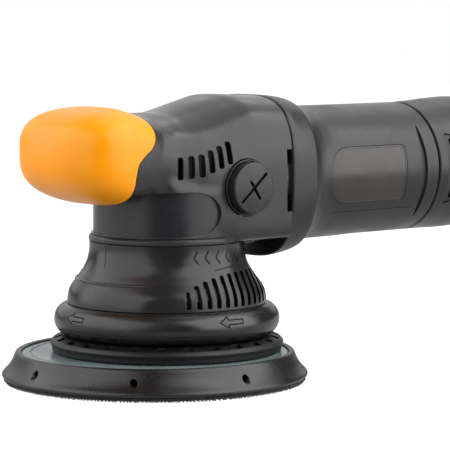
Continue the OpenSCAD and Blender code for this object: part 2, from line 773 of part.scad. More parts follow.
trigger_x = [201, 262];
gland_z = 92;
dial_x = 272;
dial_z = 120.4;
dial_r = 12;
lock_x = 228;
lock_z = 96;
pillars = [[197, 112], [205, 87], [254, 112], [272, 81]];

module handle_openings() {
    // mouth of the trigger
    translate([trigger_x[0] - 1, -8.4, 60]) cube([trigger_x[1] - trigger_x[0] + 2, 16.8, 24]);
    // dial slot
    translate([dial_x - dial_r - 1, -4.6, 112]) cube([2 * dial_r + 2, 9.2, 24]);
    // gland seat
    translate([handle_end_x - 12, 0, gland_z]) along_x() cylinder(r = 9.02, h = 30);
    // grille windows
    mirror_copy([0, 1, 0]) translate([0, -22, 0]) rotate([90, 0, 0])
        linear_extrude(height = 30) grille_outline(0.1);
}

// Trapezoid of the air inlet grille, seen from the side
module grille_outline(grow = 0) {
    polygon([[159.2 - grow, 79 - grow], [159.2 - grow, 116.5 + grow],
        [188 + grow, 110.5 + grow], [188 + grow, 85 - grow]]);
}

// Screw pillars, from one side's wall to the parting plane
module pillar_posts(r) {
    for (p = pillars) translate([p[0], -40, p[1]]) rotate([-90, 0, 0]) cylinder(r = r, h = 40);
}

module half_handle() {
    difference() {
        union() {
            handle_shell();
            intersection() {
                loft(HANDLE, handle_xs, -1);
                pillar_posts(4.2);
            }
        }
        handle_openings();
        translate([100, -0.05, 40]) cube([250, 60, 120]);
    }
}

module handle_left() {
    color([0.29, 0.29, 0.3]) difference() {
        half_handle();
        translate([0, 20, 0]) pillar_posts(1.5);
        translate([lock_x, -10, lock_z]) rotate([90, 0, 0]) cylinder(r = 5.3, h = 30);
        pin_hole();
    }
}

module handle_right() {
    color([0.29, 0.29, 0.3]) mirror([0, 1, 0]) difference() {
        half_handle();
        pillar_posts(1.75);
        translate([0, -17, 0]) pillar_posts(3.3);
        pin_hole();
    }
}

// Screws through the right half's pillars into the left half's
module handle_screws() {
    color("dimgray") for (p = pillars)
        translate([p[0], 19.4, p[1]]) rotate([90, 0, 0]) screw(2.9, 32, 6, 2.4);
}

module pin_hole() {
    translate([pivot[0], -13, pivot[2]]) rotate([-90, 0, 0]) cylinder(r = 1.6, h = 26);
}

module grille() {
    difference() {
        intersection() {
            loft(HANDLE, [157, 162, 167, 173, 180, 186, 190], -0.8);
            translate([0, -22, 0]) rotate([90, 0, 0]) linear_extrude(height = 30) grille_outline();
        }
        handle_hollow();
        for (i = [0 : 5]) translate([162.5 + 4.2 * i, -40, 87]) cube([2.2, 30, 21.5]);
    }
}

module inlet_grilles() {
    color([0.12, 0.12, 0.12]) mirror_copy([0, 1, 0]) grille();
}

pivot = [203.5, 0, 77];
// Paddle trigger that hinges at its front end
module trigger() {
    color([0.13, 0.13, 0.13]) difference() {
        translate([0, 8, 0]) rotate([90, 0, 0]) linear_extrude(height = 16) polygon([
            [200.8, 76.5], [201, 74], [204, 72.2], [222, 66.8], [240, 66], [256, 67.6], [260.4, 69.6],
            [260.8, 72.6], [259.5, 76.4], [250, 77.4], [240, 77.4], [226, 78], [208, 80.4], [203, 80.6]]);
        translate([pivot[0], -20, pivot[2]]) rotate([-90, 0, 0]) cylinder(r = 1.6, h = 40);
        translate([246, 0, 70]) cylinder(r = 4.4, h = 10);
    }
}

module trigger_pin() {
    color("silver") translate([pivot[0], -12.5, pivot[2]]) rotate([-90, 0, 0])
        cylinder(r = 1.6 - fit, h = 25);
}

// Coil spring that returns the trigger
spring_z = [70.2, 90];
module trigger_spring() {
    turns = 5;
    steps = 12;
    coil_r = 3;
    wire = 0.5;
    color("silver") translate([246, 0, spring_z[0] + wire]) skin([for (i = [0 : turns * steps])
        let (a = i * 360 / steps, z = (spring_z[1] - spring_z[0] - 2 * wire) * i / (turns * steps))
        [for (b = [0 : 45 : 315]) let (r = coil_r - wire * cos(b))
            [r * cos(a), r * sin(a), z + wire * sin(b)]]]);
}

module switch_body() {
    color([0.1, 0.1, 0.1]) {
        translate([214, -8, 84]) cube([26, 16, 20]);
        translate([239, -6, 90.1]) cube([15, 12, 4]);
    }
}

module lock_button() {
    color([0.12, 0.12, 0.12]) translate([lock_x, -11, lock_z]) rotate([90, 0, 0]) {
        cylinder(r = 5, h = 18.4);
        translate([0, 0, 8]) cylinder(r = 6.4, h = 2);
    }
}

module dial_axis() { translate([dial_x, 0, dial_z]) rotate([90, 0, 0]) children(); }

// Thumb wheel with a knurled rim
module speed_dial() {
    notches = 24;
    color([0.16, 0.16, 0.16]) dial_axis() difference() {
        translate([0, 0, -4.2]) cylinder(r = dial_r, h = 8.4);
        translate([0, 0, -6]) cylinder(r = 2.05, h = 12);
        for (i = [0 : notches - 1]) rotate([0, 0, i * 360 / notches])
            translate([dial_r, 0, 0]) cube([1.2, 1.1, 10], center = true);
    }
}

// Speed control board, with the potentiometer's pin through the dial
module speed_board() {
    color("seagreen") {
        translate([262, -9, 99]) cube([20, 1.6, 14]);
        translate([264, -7.4, 99]) cube([14, 6, 7]);
        dial_axis() translate([0, 0, -9]) cylinder(r = 2, h = 18);
        for (y = [-7.4, 5]) translate([dial_x - 3, y, 105]) cube([6, 2.4, dial_z - 102]);
        translate([dial_x - 3, -7.4, 100]) cube([6, 14.8, 5.4]);
    }
}

// Saddle that grips the cord inside the handle
module cord_clamp() {
    color([0.15, 0.15, 0.15]) difference() {
        translate([274, -9, 86]) cube([5, 18, 11.6]);
        translate([270, 0, gland_z]) along_x() cylinder(d = cord_bore_d, h = 20);
    }
}

// Gland that the mains cord enters through
module cord_gland() {
    color([0.1, 0.1, 0.1]) translate([handle_end_x - 10, 0, gland_z]) along_x() difference() {
        union() {
            translate([0, 0, 2]) cylinder(r = 11.4, h = 3.8);
            cylinder(r = 9, h = 17);
            translate([0, 0, 10.2]) cylinder(r = 10.6, h = 3.8);
        }
        translate([0, 0, -1]) cylinder(d = cord_bore_d, h = 30);
    }
}

front_knob();
head_cover();
gearcase();
bearing_flange();
flange_screws();
side_plug_left();
side_plug_right();
spindle_upper_bearing();
spindle_lower_bearing();
dust_seal();
shroud();
shroud_screws();
bumper_ring();
skirt();
spindle();
bevel_gear();
gear_circlip();
eccentric();
counterweight();
counterweight_screws();
plate_bearings();
bearing_circlip();
plate_shaft();
plate_hub();
plate_bolt();
plate_washer();
backing_disc();
plate_cushion();
hook_face();
motor_housing();
label_panels();
housing_screws();
stator_core();
field_coils();
fan_baffle();
front_motor_bearing();
rear_motor_bearing();
brush_holders();
carbon_brushes();
brush_springs();
armature_shaft();
pinion();
armature_core();
armature_windings();
commutator();
motor_fan();
handle_left();
handle_right();
inlet_grilles();
handle_screws();
trigger_pin();
switch_body();
trigger_spring();
speed_board();
cord_clamp();
cord_gland();
trigger();
lock_button();
speed_dial();
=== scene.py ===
"""Looks of the dual action polisher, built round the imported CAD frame.

Shapes are worked out in millimetres and stored in metres, in the frame of the CAD: Z is the
spindle axis, the motor lies along +X at the height MOTOR_Z, and z = 0 is the hook face.
"""

import json
import math

import bmesh
import bpy
import numpy as np
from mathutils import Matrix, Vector


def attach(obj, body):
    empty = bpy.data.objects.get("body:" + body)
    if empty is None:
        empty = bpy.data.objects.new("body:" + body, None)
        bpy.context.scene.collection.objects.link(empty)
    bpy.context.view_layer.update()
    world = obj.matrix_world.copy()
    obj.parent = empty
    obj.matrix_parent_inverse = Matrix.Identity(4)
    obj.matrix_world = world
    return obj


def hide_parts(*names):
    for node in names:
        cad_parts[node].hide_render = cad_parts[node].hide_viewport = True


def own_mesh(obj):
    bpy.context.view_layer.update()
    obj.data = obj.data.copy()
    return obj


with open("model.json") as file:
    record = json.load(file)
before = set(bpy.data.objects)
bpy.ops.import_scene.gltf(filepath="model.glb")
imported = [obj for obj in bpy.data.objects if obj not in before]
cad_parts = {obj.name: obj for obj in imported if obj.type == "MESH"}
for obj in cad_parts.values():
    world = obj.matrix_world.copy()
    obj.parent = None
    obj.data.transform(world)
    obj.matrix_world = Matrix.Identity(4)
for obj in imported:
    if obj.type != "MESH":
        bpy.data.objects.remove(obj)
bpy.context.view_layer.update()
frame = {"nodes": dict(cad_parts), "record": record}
MM = 0.001
TAU = 2 * math.pi

MOTOR_Z = 98.0
MOTOR_R = 33.8
ORBIT = -7.5
MOTOR_AXIS = (0, 0, MOTOR_Z)
CORNERS = ((-1, -1), (1, -1), (1, 1), (-1, 1))


# ---- mesh helpers ---------------------------------------------------------


def placed(name, data):
    """New object in the scene for a mesh, a lamp or a camera."""
    obj = bpy.data.objects.new(name, data)
    bpy.context.scene.collection.objects.link(obj)
    return obj


def add_mesh(name, verts, faces, material=None):
    """A mesh object from points in millimetres, with its faces turned outwards."""
    mesh = bpy.data.meshes.new(name)
    mesh.from_pydata((np.asarray(verts, float) * MM).tolist(), [], faces)
    bm = bmesh.new()
    bm.from_mesh(mesh)
    bmesh.ops.recalc_face_normals(bm, faces=bm.faces)
    bm.to_mesh(mesh)
    bm.free()
    if material:
        mesh.materials.append(material)
    return placed(name, mesh)


def grid_faces(rows, cols, close_rows=False):
    """Quads of a grid of points that is closed along its columns."""
    i, j = np.mgrid[0 : rows if close_rows else rows - 1, 0:cols]
    k, l = (i + 1) % rows, (j + 1) % cols
    quads = np.stack([i * cols + j, i * cols + l, k * cols + l, k * cols + j], -1)
    return quads.reshape(-1, 4).tolist()


def skin(name, rings, material=None):
    """Closed solid through rings of points (rows, columns, 3), with flat ends."""
    rows, cols = rings.shape[:2]
    faces = grid_faces(rows, cols)
    faces += [list(range(cols)), list(range((rows - 1) * cols, rows * cols))]
    return add_mesh(name, rings.reshape(-1, 3), faces, material)


def turn(points, axis):
    """Points drawn round Z, turned so that their axis is X, -Y, +Y or Z."""
    x, y, z = points[..., 0], points[..., 1], points[..., 2]
    order = {"z": (x, y, z), "x": (z, x, y), "y": (y, z, x), "-y": (x, -z, y)}[axis]
    return np.stack(order, -1)


def lathe(name, profile, material=None, segs=192, axis="z", centre=(0, 0, 0), closed=True):
    """Turned solid of (radius, height) points. An open profile gets flat ends."""
    p = np.array(profile, float)
    ang = np.linspace(0, TAU, segs, endpoint=False)
    r, h = p[:, :1], p[:, 1:]
    pts = np.stack([r * np.cos(ang), r * np.sin(ang), h + 0 * ang], -1)
    pts = turn(pts, axis) + np.array(centre, float)
    if not closed:
        return skin(name, pts, material)
    return add_mesh(name, pts.reshape(-1, 3), grid_faces(len(p), segs, True), material)


def rounded(points, radius, steps=4):
    """Polyline with its corners rounded; radius is one number or one for each corner."""
    n = len(points)
    pts = [np.array(p, float) for p in points]
    radii = radius if isinstance(radius, (list, tuple)) else [radius] * n
    out = []
    for i, p in enumerate(pts):
        if radii[i] <= 0:
            out.append(p)
            continue
        a, b = pts[i - 1] - p, pts[(i + 1) % n] - p
        la, lb = np.linalg.norm(a), np.linalg.norm(b)
        half = math.acos(max(-1, min(1, float(a @ b) / (la * lb)))) / 2
        reach = min(radii[i] / max(math.tan(half), 1e-3), 0.48 * la, 0.48 * lb)
        p0, p1 = p + a / la * reach, p + b / lb * reach
        for s in np.linspace(0, 1, steps + 1):
            out.append((1 - s) ** 2 * p0 + 2 * s * (1 - s) * p + s**2 * p1)
    return out


def prism(name, outline, axis, low, high, material=None):
    """Outline extruded along an axis: (x, z) for y, and (x, y) for z."""
    o = np.array(outline, float)
    rings = []
    for level in (low, high):
        k = np.full(len(o), float(level))
        rings.append(np.stack((o[:, 0], k, o[:, 1]) if axis == "y" else (o[:, 0], o[:, 1], k), -1))
    return skin(name, np.stack(rings), material)


def block(name, low, high, material=None):
    """Box between two corners."""
    outline = [(low[0], low[1]), (high[0], low[1]), (high[0], high[1]), (low[0], high[1])]
    return prism(name, outline, "z", low[2], high[2], material)


def pill(x0, z0, x1, z1, r, steps=6):
    """Outline of a rectangle with round corners."""
    return rounded([(x0, z0), (x1, z0), (x1, z1), (x0, z1)], r, steps)


def curve_through(points, per_span=8):
    """Smooth open curve through the given points (Catmull-Rom)."""
    p = np.array(points, float)
    n = len(p)
    out = []
    for i in range(n - 1):
        a, b, c, d = (p[min(max(i + k, 0), n - 1)] for k in (-1, 0, 1, 2))
        bend, twist = 2 * a - 5 * b + 4 * c - d, 3 * b - a - 3 * c + d
        for t in np.linspace(0, 1, per_span, endpoint=False):
            out.append(0.5 * (2 * b + (c - a) * t + bend * t**2 + twist * t**3))
    out.append(p[-1])
    return np.array(out)


def evaluated(obj):
    """Replaces an object's mesh by what its modifiers make of it."""
    bpy.context.view_layer.update()
    graph = bpy.context.evaluated_depsgraph_get()
    made = bpy.data.meshes.new_from_object(
        obj.evaluated_get(graph), preserve_all_data_layers=True, depsgraph=graph
    )
    obj.modifiers.clear()
    obj.data = made
    return obj


def boolean(obj, cutter, operation="DIFFERENCE"):
    """Cuts obj with another solid, which is used up; cut faces take the cutter's material."""
    mod = obj.modifiers.new("cut", "BOOLEAN")
    mod.object, mod.operation, mod.solver = cutter, operation, "MANIFOLD"
    mod.material_mode = "TRANSFER"
    evaluated(obj)
    bpy.data.objects.remove(cutter)
    return obj


def joined(name, objs):
    """One object from several; their materials are kept."""
    mesh = bpy.data.meshes.new(name)
    materials = []
    verts, faces, slots = [], [], []
    for o in objs:
        base = len(verts)
        verts += [tuple(v.co) for v in o.data.vertices]
        own = list(o.data.materials) or [None]
        for m in own:
            if m not in materials:
                materials.append(m)
        for f in o.data.polygons:
            faces.append([base + v for v in f.vertices])
            slots.append(materials.index(own[min(f.material_index, len(own) - 1)]))
        bpy.data.objects.remove(o)
    mesh.from_pydata(verts, [], faces)
    for m in filter(None, materials):
        mesh.materials.append(m)
    mesh.polygons.foreach_set("material_index", slots)
    mesh.update()
    return placed(name, mesh)


def cut(obj, *cutters):
    """Cuts away several pieces that don't touch each other."""
    return boolean(obj, joined("cutters", list(cutters)) if len(cutters) > 1 else cutters[0])


def copied(obj, name):
    """A separate object with the same mesh."""
    return placed(name, obj.data.copy())


def span(side, near, far):
    """Low and high y of a range on one side of the machine; side is -1 or 1."""
    return sorted((side * near, side * far))


def tube(name, inner, outer, low, high, slot, segs=256, axis="z", centre=(0, 0, 0)):
    """Turned ring of rectangular section."""
    profile = [(inner, low), (outer, low), (outer, high), (inner, high)]
    return lathe(name, profile, M[slot], segs, axis, centre)


def bore(obj, radius, low, high, axis, centre, segs=64):
    """Drills a round hole, with its wall painted near black as painted shade inside the hole."""
    profile = [(radius, low), (radius, high)]
    boolean(obj, lathe("bore", profile, M["pit"], segs, axis, centre, closed=False))


def bevelled(obj, width, segments=3, angle=30):
    """Rounds an object's sharp edges with real geometry; width in millimetres."""
    mod = obj.modifiers.new("edge", "BEVEL")
    mod.width, mod.segments = width * MM, segments
    mod.limit_method, mod.angle_limit = "ANGLE", math.radians(angle)
    mod.use_clamp_overlap = True
    return evaluated(obj)


def done(obj, body, slot, *nodes, sharp=38):
    """Shades a finished piece and hands it to the frame."""
    obj.data.shade_smooth()
    obj.data.set_sharp_from_angle(angle=math.radians(sharp))
    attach(obj, body)
    if nodes:
        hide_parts(*nodes)
    return obj


def ribbon(name, path, normals, width, depth, material):
    """Strip of rectangular section that follows a path on a surface, used as a groove."""
    p, n = np.array(path, float), np.array(normals, float)
    t = np.gradient(p, axis=0)
    side = np.cross(t, n)
    side /= np.linalg.norm(side, axis=1)[:, None]
    s, d = side * width / 2, n * depth
    rings = np.stack([p - s - d, p + s - d, p + s + d, p - s + d], 1)
    return skin(name, rings, material)


def on_turned(line, path):
    """Points and outward normals on a turned surface given as (r, z) points."""
    prof = np.array(sorted(line, key=lambda q: q[1]), float)

    def radius(z):
        """Radius of the surface at a height."""
        return np.interp(z, prof[:, 1], prof[:, 0])

    pts, nrm = [], []
    for phi, z in path:
        a = math.radians(phi)
        r = radius(z)
        slope = (radius(z + 0.4) - radius(z - 0.4)) / 0.8
        n = np.array([math.cos(a), math.sin(a), -slope])
        pts.append((r * math.cos(a), r * math.sin(a), z))
        nrm.append(n / np.linalg.norm(n))
    return pts, nrm


def between(a, b, n):
    """n points in a straight line from a to b."""
    a, b = np.array(a, float), np.array(b, float)
    return [tuple(a + (b - a) * i / (n - 1)) for i in range(n)]


# ---- smooth tables and sections ------------------------------------------


def smooth(table, x, column):
    """Smooth value of a column of a table of stations at x, flat at its turning points."""
    t = np.array(table, float)
    xs, v = t[:, 0], t[:, column]
    d = np.diff(v) / np.diff(xs)
    m = np.zeros(len(v))
    both = d[:-1] * d[1:]
    total = np.where(both > 0, d[:-1] + d[1:], 1)
    m[1:-1] = np.where(both > 0, 2 * both / total, 0)
    i = np.clip(np.searchsorted(xs, x, side="right") - 1, 0, len(xs) - 2)
    h = xs[i + 1] - xs[i]
    s = np.clip((x - xs[i]) / h, 0, 1)
    return (
        (2 * s**3 - 3 * s**2 + 1) * v[i]
        + (s**3 - 2 * s**2 + s) * h * m[i]
        + (3 * s**2 - 2 * s**3) * v[i + 1]
        + (s**3 - s**2) * h * m[i + 1]
    )


def sections(table, xs, around=256, grow=0.0):
    """Rings of superellipse points at the heights xs of a table of stations."""
    x = np.array(xs, float)[:, None]
    zb, zt, w, zm, nu, nl = (smooth(table, x, k) for k in range(1, 7))
    th = np.linspace(0, TAU, around, endpoint=False)[None, :]
    c, s = np.cos(th), np.sin(th)
    n = np.where(s >= 0, nu, nl)
    rho = (np.abs(c) ** n + np.abs(s) ** n) ** (-1 / n)
    h = np.where(s >= 0, zt - zm, zm - zb) + grow
    return np.stack([x + 0 * th, (w + grow) * rho * c, zm + h * rho * s], -1)


HEAD = [
    (-44, 87.8, 135.0, 34, 113.2, 3.4, 3.4),
    (-38, 88, 133.6, 33.8, 112.5, 3.2, 3.2),
    (-32, 88.4, 132.4, 33, 111.5, 2.9, 2.9),
    (-25, 87, 131.4, 32, 109.5, 2.6, 2.7),
    (-18, 83.5, 131.2, 32, 107, 2.5, 3),
    (-10, 79, 131.3, 33.8, 104, 2.4, 3.4),
    (0, 70.5, 133.2, 36.8, 100, 2.3, 5),
    (5, 68.6, 134.4, 37.4, 98, 2.35, 8),
    (20, 68.6, 137.6, 37.5, 98, 2.7, 14),
    (30, 68.6, 139.2, 37.5, 98, 3.0, 14),
    (49.3, 68.6, 138.4, 37.5, 98, 3.2, 14),
]
NOSE_X = -44.0
NOSE_L = 30.5
NOSE_N = 2.43
NOSE_LIFT = 4.1
NOSE_DROP = 1.0
NOSE_SWELL = 0.2
COVER_Z = 71.9
SKIRT_Z = 68.6
COVER_X = 49.3
NECK_R = 37.0
CAVITY_R = 33
PLUG_AT = (20, 0, 95.3)
SLOT_X = (-17.1, -11.3, -6.0, -0.9, 4.6, 10.0)


def smooth_min(a, b, k):
    """The smaller of two values, blended over a width k where they are close."""
    h = np.clip(0.5 + 0.5 * (b - a) / k, 0, 1)
    return b * (1 - h) + a * h - k * h * (1 - h)


def head_level(p):
    """About the distance in millimetres from the head's surface, negative inside."""
    x, y, z = p[:, 0], p[:, 1], p[:, 2]
    xs = np.clip(x, NOSE_X, COVER_X)
    zb, zt, w, zm, nu, nl = (smooth(HEAD, xs, k) for k in range(1, 7))
    t = np.maximum(0, (NOSE_X - x) / NOSE_L)
    zb = zb + NOSE_LIFT * np.minimum(t, 1)
    zt = zt - NOSE_DROP * np.minimum(t, 1)
    w = w * (1 + NOSE_SWELL * np.minimum(t, 1))
    upper = z >= zm
    h = np.where(upper, zt - zm, zm - zb)
    n = np.where(upper, nu, nl)
    rho = ((np.abs(y) / w) ** n + (np.abs(z - zm) / h) ** n) ** (1 / n)
    rho = (rho**NOSE_N + t**NOSE_N) ** (1 / NOSE_N)
    body = (rho - 1) * np.minimum(w, h)
    side = np.hypot(x, y) - NECK_R
    neck = -smooth_min(-side, -(z - 97.0), 5.0)
    k = 1.2 + 5.5 * np.clip((-8 - x) / 14, 0, 1)
    return smooth_min(body, neck, k)


def head_solid(voxel):
    """The head's outer surface as one blended solid, before it is trimmed and split."""
    tip = NOSE_X - NOSE_L * np.cos(np.linspace(0.08, math.pi / 2, 14)[:-1])
    fine = np.concatenate([tip, np.arange(NOSE_X, 62, 2.5)])
    x = np.clip(fine, NOSE_X, COVER_X)
    rings = sections(HEAD, x, 96)
    t = np.maximum(0, (NOSE_X - fine) / NOSE_L)
    size = (1 - t**NOSE_N) ** (1 / NOSE_N)
    zm = smooth(HEAD, x, 4)[:, None]
    rings[..., 0] = fine[:, None]
    rings[..., 1] *= (size * (1 + NOSE_SWELL * t))[:, None]
    lift = np.where(rings[..., 2] < zm, (NOSE_LIFT * t)[:, None], 0)
    lift = lift * (np.abs(rings[..., 2] - zm) / 23.0)
    rings[..., 2] = zm + (rings[..., 2] + lift - zm) * size[:, None]
    body = skin("head_body", rings)
    neck = lathe("head_neck", [(36.5, 62), (36.5, 92)], segs=96, closed=False)
    obj = joined("head", [body, neck])
    mod = obj.modifiers.new("remesh", "REMESH")
    mod.mode, mod.voxel_size = "VOXEL", voxel * MM
    evaluated(obj)
    mesh = obj.data
    co = np.zeros(len(mesh.vertices) * 3)
    mesh.vertices.foreach_get("co", co)
    p = co.reshape(-1, 3) / MM
    live = (p[:, 2] > 68) & (p[:, 0] < 56)
    q = p[live]
    eps = 0.05
    for _ in range(6):
        f = head_level(q)
        shifts = np.eye(3) * eps
        g = np.stack([(head_level(q + e) - head_level(q - e)) / (2 * eps) for e in shifts], -1)
        step = g * (f / np.maximum((g**2).sum(1), 0.02))[:, None]
        size = np.linalg.norm(step, axis=1)
        q = q - step * np.minimum(1, 0.8 / np.maximum(size, 1e-9))[:, None]
    p[live] = q
    mesh.vertices.foreach_set("co", (p * MM).ravel())
    mesh.update()
    return obj


# ---- materials ------------------------------------------------------------


class Nodes:
    """Short way to build a material's node tree."""

    def __init__(self, name):
        """Starts a material; self.shader is its surface."""
        self.material = bpy.data.materials.new(name)
        self.material.use_nodes = True
        self.shader = self.material.node_tree.nodes["Principled BSDF"]

    def feed(self, node, inputs):
        """Sets inputs by name or number, or links them where a value is another node's output."""
        for key, value in inputs.items():
            if hasattr(value, "is_linked"):
                self.material.node_tree.links.new(value, node.inputs[key])
            else:
                node.inputs[key].default_value = value

    def add(self, kind, inputs=None, **settings):
        """New node with its settings and inputs."""
        node = self.material.node_tree.nodes.new("ShaderNode" + kind)
        for key, value in settings.items():
            setattr(node, key, value)
        self.feed(node, inputs or {})
        return node

    def noise(self, size_mm, detail=4.0, rough=0.55, stretch=(1, 1, 1), offset=0.0):
        """Noise with features of about size_mm, in object space."""
        coord = self.add("TexCoord").outputs["Object"]
        shift = (offset, offset * 0.7, offset * 1.3)
        place = self.add("Mapping", {"Vector": coord, "Location": shift, "Scale": stretch})
        looks = {"Scale": 1000.0 / size_mm, "Detail": detail, "Roughness": rough}
        tex = self.add("TexNoise", {"Vector": place.outputs["Vector"], **looks})
        return tex.outputs["Fac"]

    def cells(self, size_mm):
        """Distance to the nearest of many scattered points, size_mm apart."""
        coord = self.add("TexCoord").outputs["Object"]
        tex = self.add("TexVoronoi", {"Vector": coord, "Scale": 1000.0 / size_mm}, feature="F1")
        return tex.outputs["Distance"]

    def ramp(self, source, low, high, a=0.35, b=0.65):
        """Source stretched so that a gives low and b gives high."""
        limits = {"From Min": a, "From Max": b, "To Min": low, "To Max": high}
        return self.add("MapRange", {"Value": source, **limits}).outputs["Result"]

    def mix(self, factor, a, b):
        """Colour between a and b."""
        a, b = (c if hasattr(c, "is_linked") else (*c, 1) for c in (a, b))
        return self.add("Mix", {0: factor, 6: a, 7: b}, data_type="RGBA").outputs[2]

    def math(self, operation, a, b):
        """Sum or product of two values; a product stays between 0 and 1."""
        clamp = operation == "MULTIPLY"
        return self.add("Math", {0: a, 1: b}, operation=operation, use_clamp=clamp).outputs[0]

    def edges(self, radius_mm):
        """Rounded normals, and a mask that is bright along edges."""
        soft = self.add("Bevel", {"Radius": radius_mm * MM}, samples=6).outputs["Normal"]
        flat = self.add("NewGeometry").outputs["Normal"]
        dot = self.add("VectorMath", {0: soft, 1: flat}, operation="DOT_PRODUCT")
        return soft, self.ramp(dot.outputs["Value"], 1.0, 0.0, 0.75, 0.995)

    def bump(self, height, distance_mm, **normal):
        """Normals of a surface raised by height times distance_mm."""
        inputs = {"Distance": distance_mm * MM, "Strength": 1.0, "Height": height, **normal}
        return self.add("Bump", inputs).outputs["Normal"]


def scaled(colour, factor):
    """Colour made lighter or darker, at most white."""
    return tuple(min(1.0, c * factor) for c in colour)


def finish(
    name, colour, rough, metal=0.0, grain=0.5, grain_depth=0.03, mottle=0.10, edge=0.35,
    edge_mm=0.35, wear=1.35, stretch=(1, 1, 1), sheen=0.0, coat=0.0, specular=0.38,
    rough_spread=0.06, cells=0.0,
):
    """Moulded, cast, turned or rubber finish with mottling, grain and worn edges."""
    n = Nodes(name)
    broad = n.noise(18.0, 3.0, 0.5, offset=len(name) * 1.7)
    base = n.mix(n.ramp(broad, 0, 1), scaled(colour, 1 - mottle), scaled(colour, 1 + mottle))
    normal, mask = n.edges(edge_mm)
    worn = n.math("MULTIPLY", mask, n.ramp(n.noise(4.0, 3.0, 0.6), 0.2 * edge, edge))
    fine = n.noise(grain, 3.0, 0.6, stretch=stretch)
    spread = n.math("ADD", n.ramp(broad, -rough_spread, rough_spread), rough)
    height = n.math("ADD", n.math("MULTIPLY", n.cells(cells), 0.8), fine) if cells else fine
    n.feed(n.shader, {
        "Metallic": metal, "Sheen Weight": sheen, "Sheen Roughness": 0.5, "Coat Weight": coat,
        "Coat Roughness": 0.25, "Specular IOR Level": specular,
        "Base Color": n.mix(worn, base, scaled(colour, wear)),
        "Roughness": n.math("ADD", spread, n.ramp(fine, -0.04, 0.04)),
        "Normal": n.bump(height, grain_depth, Normal=normal),
    })
    return n.material


def hook_finish(name, colour):
    """Hook tape: tight rows of tiny loops."""
    n = Nodes(name)
    rows, fuzz = n.cells(0.9), n.noise(0.35, 2.0, 0.7)
    shade = n.ramp(rows, 1, 0, 0.1, 0.6)
    n.feed(n.shader, {
        "Specular IOR Level": 0.25, "Sheen Weight": 0.1,
        "Base Color": n.mix(shade, scaled(colour, 0.5), scaled(colour, 2.2)),
        "Roughness": n.ramp(fuzz, 0.75, 1.0),
        "Normal": n.bump(n.math("ADD", rows, fuzz), 0.35),
    })
    return n.material


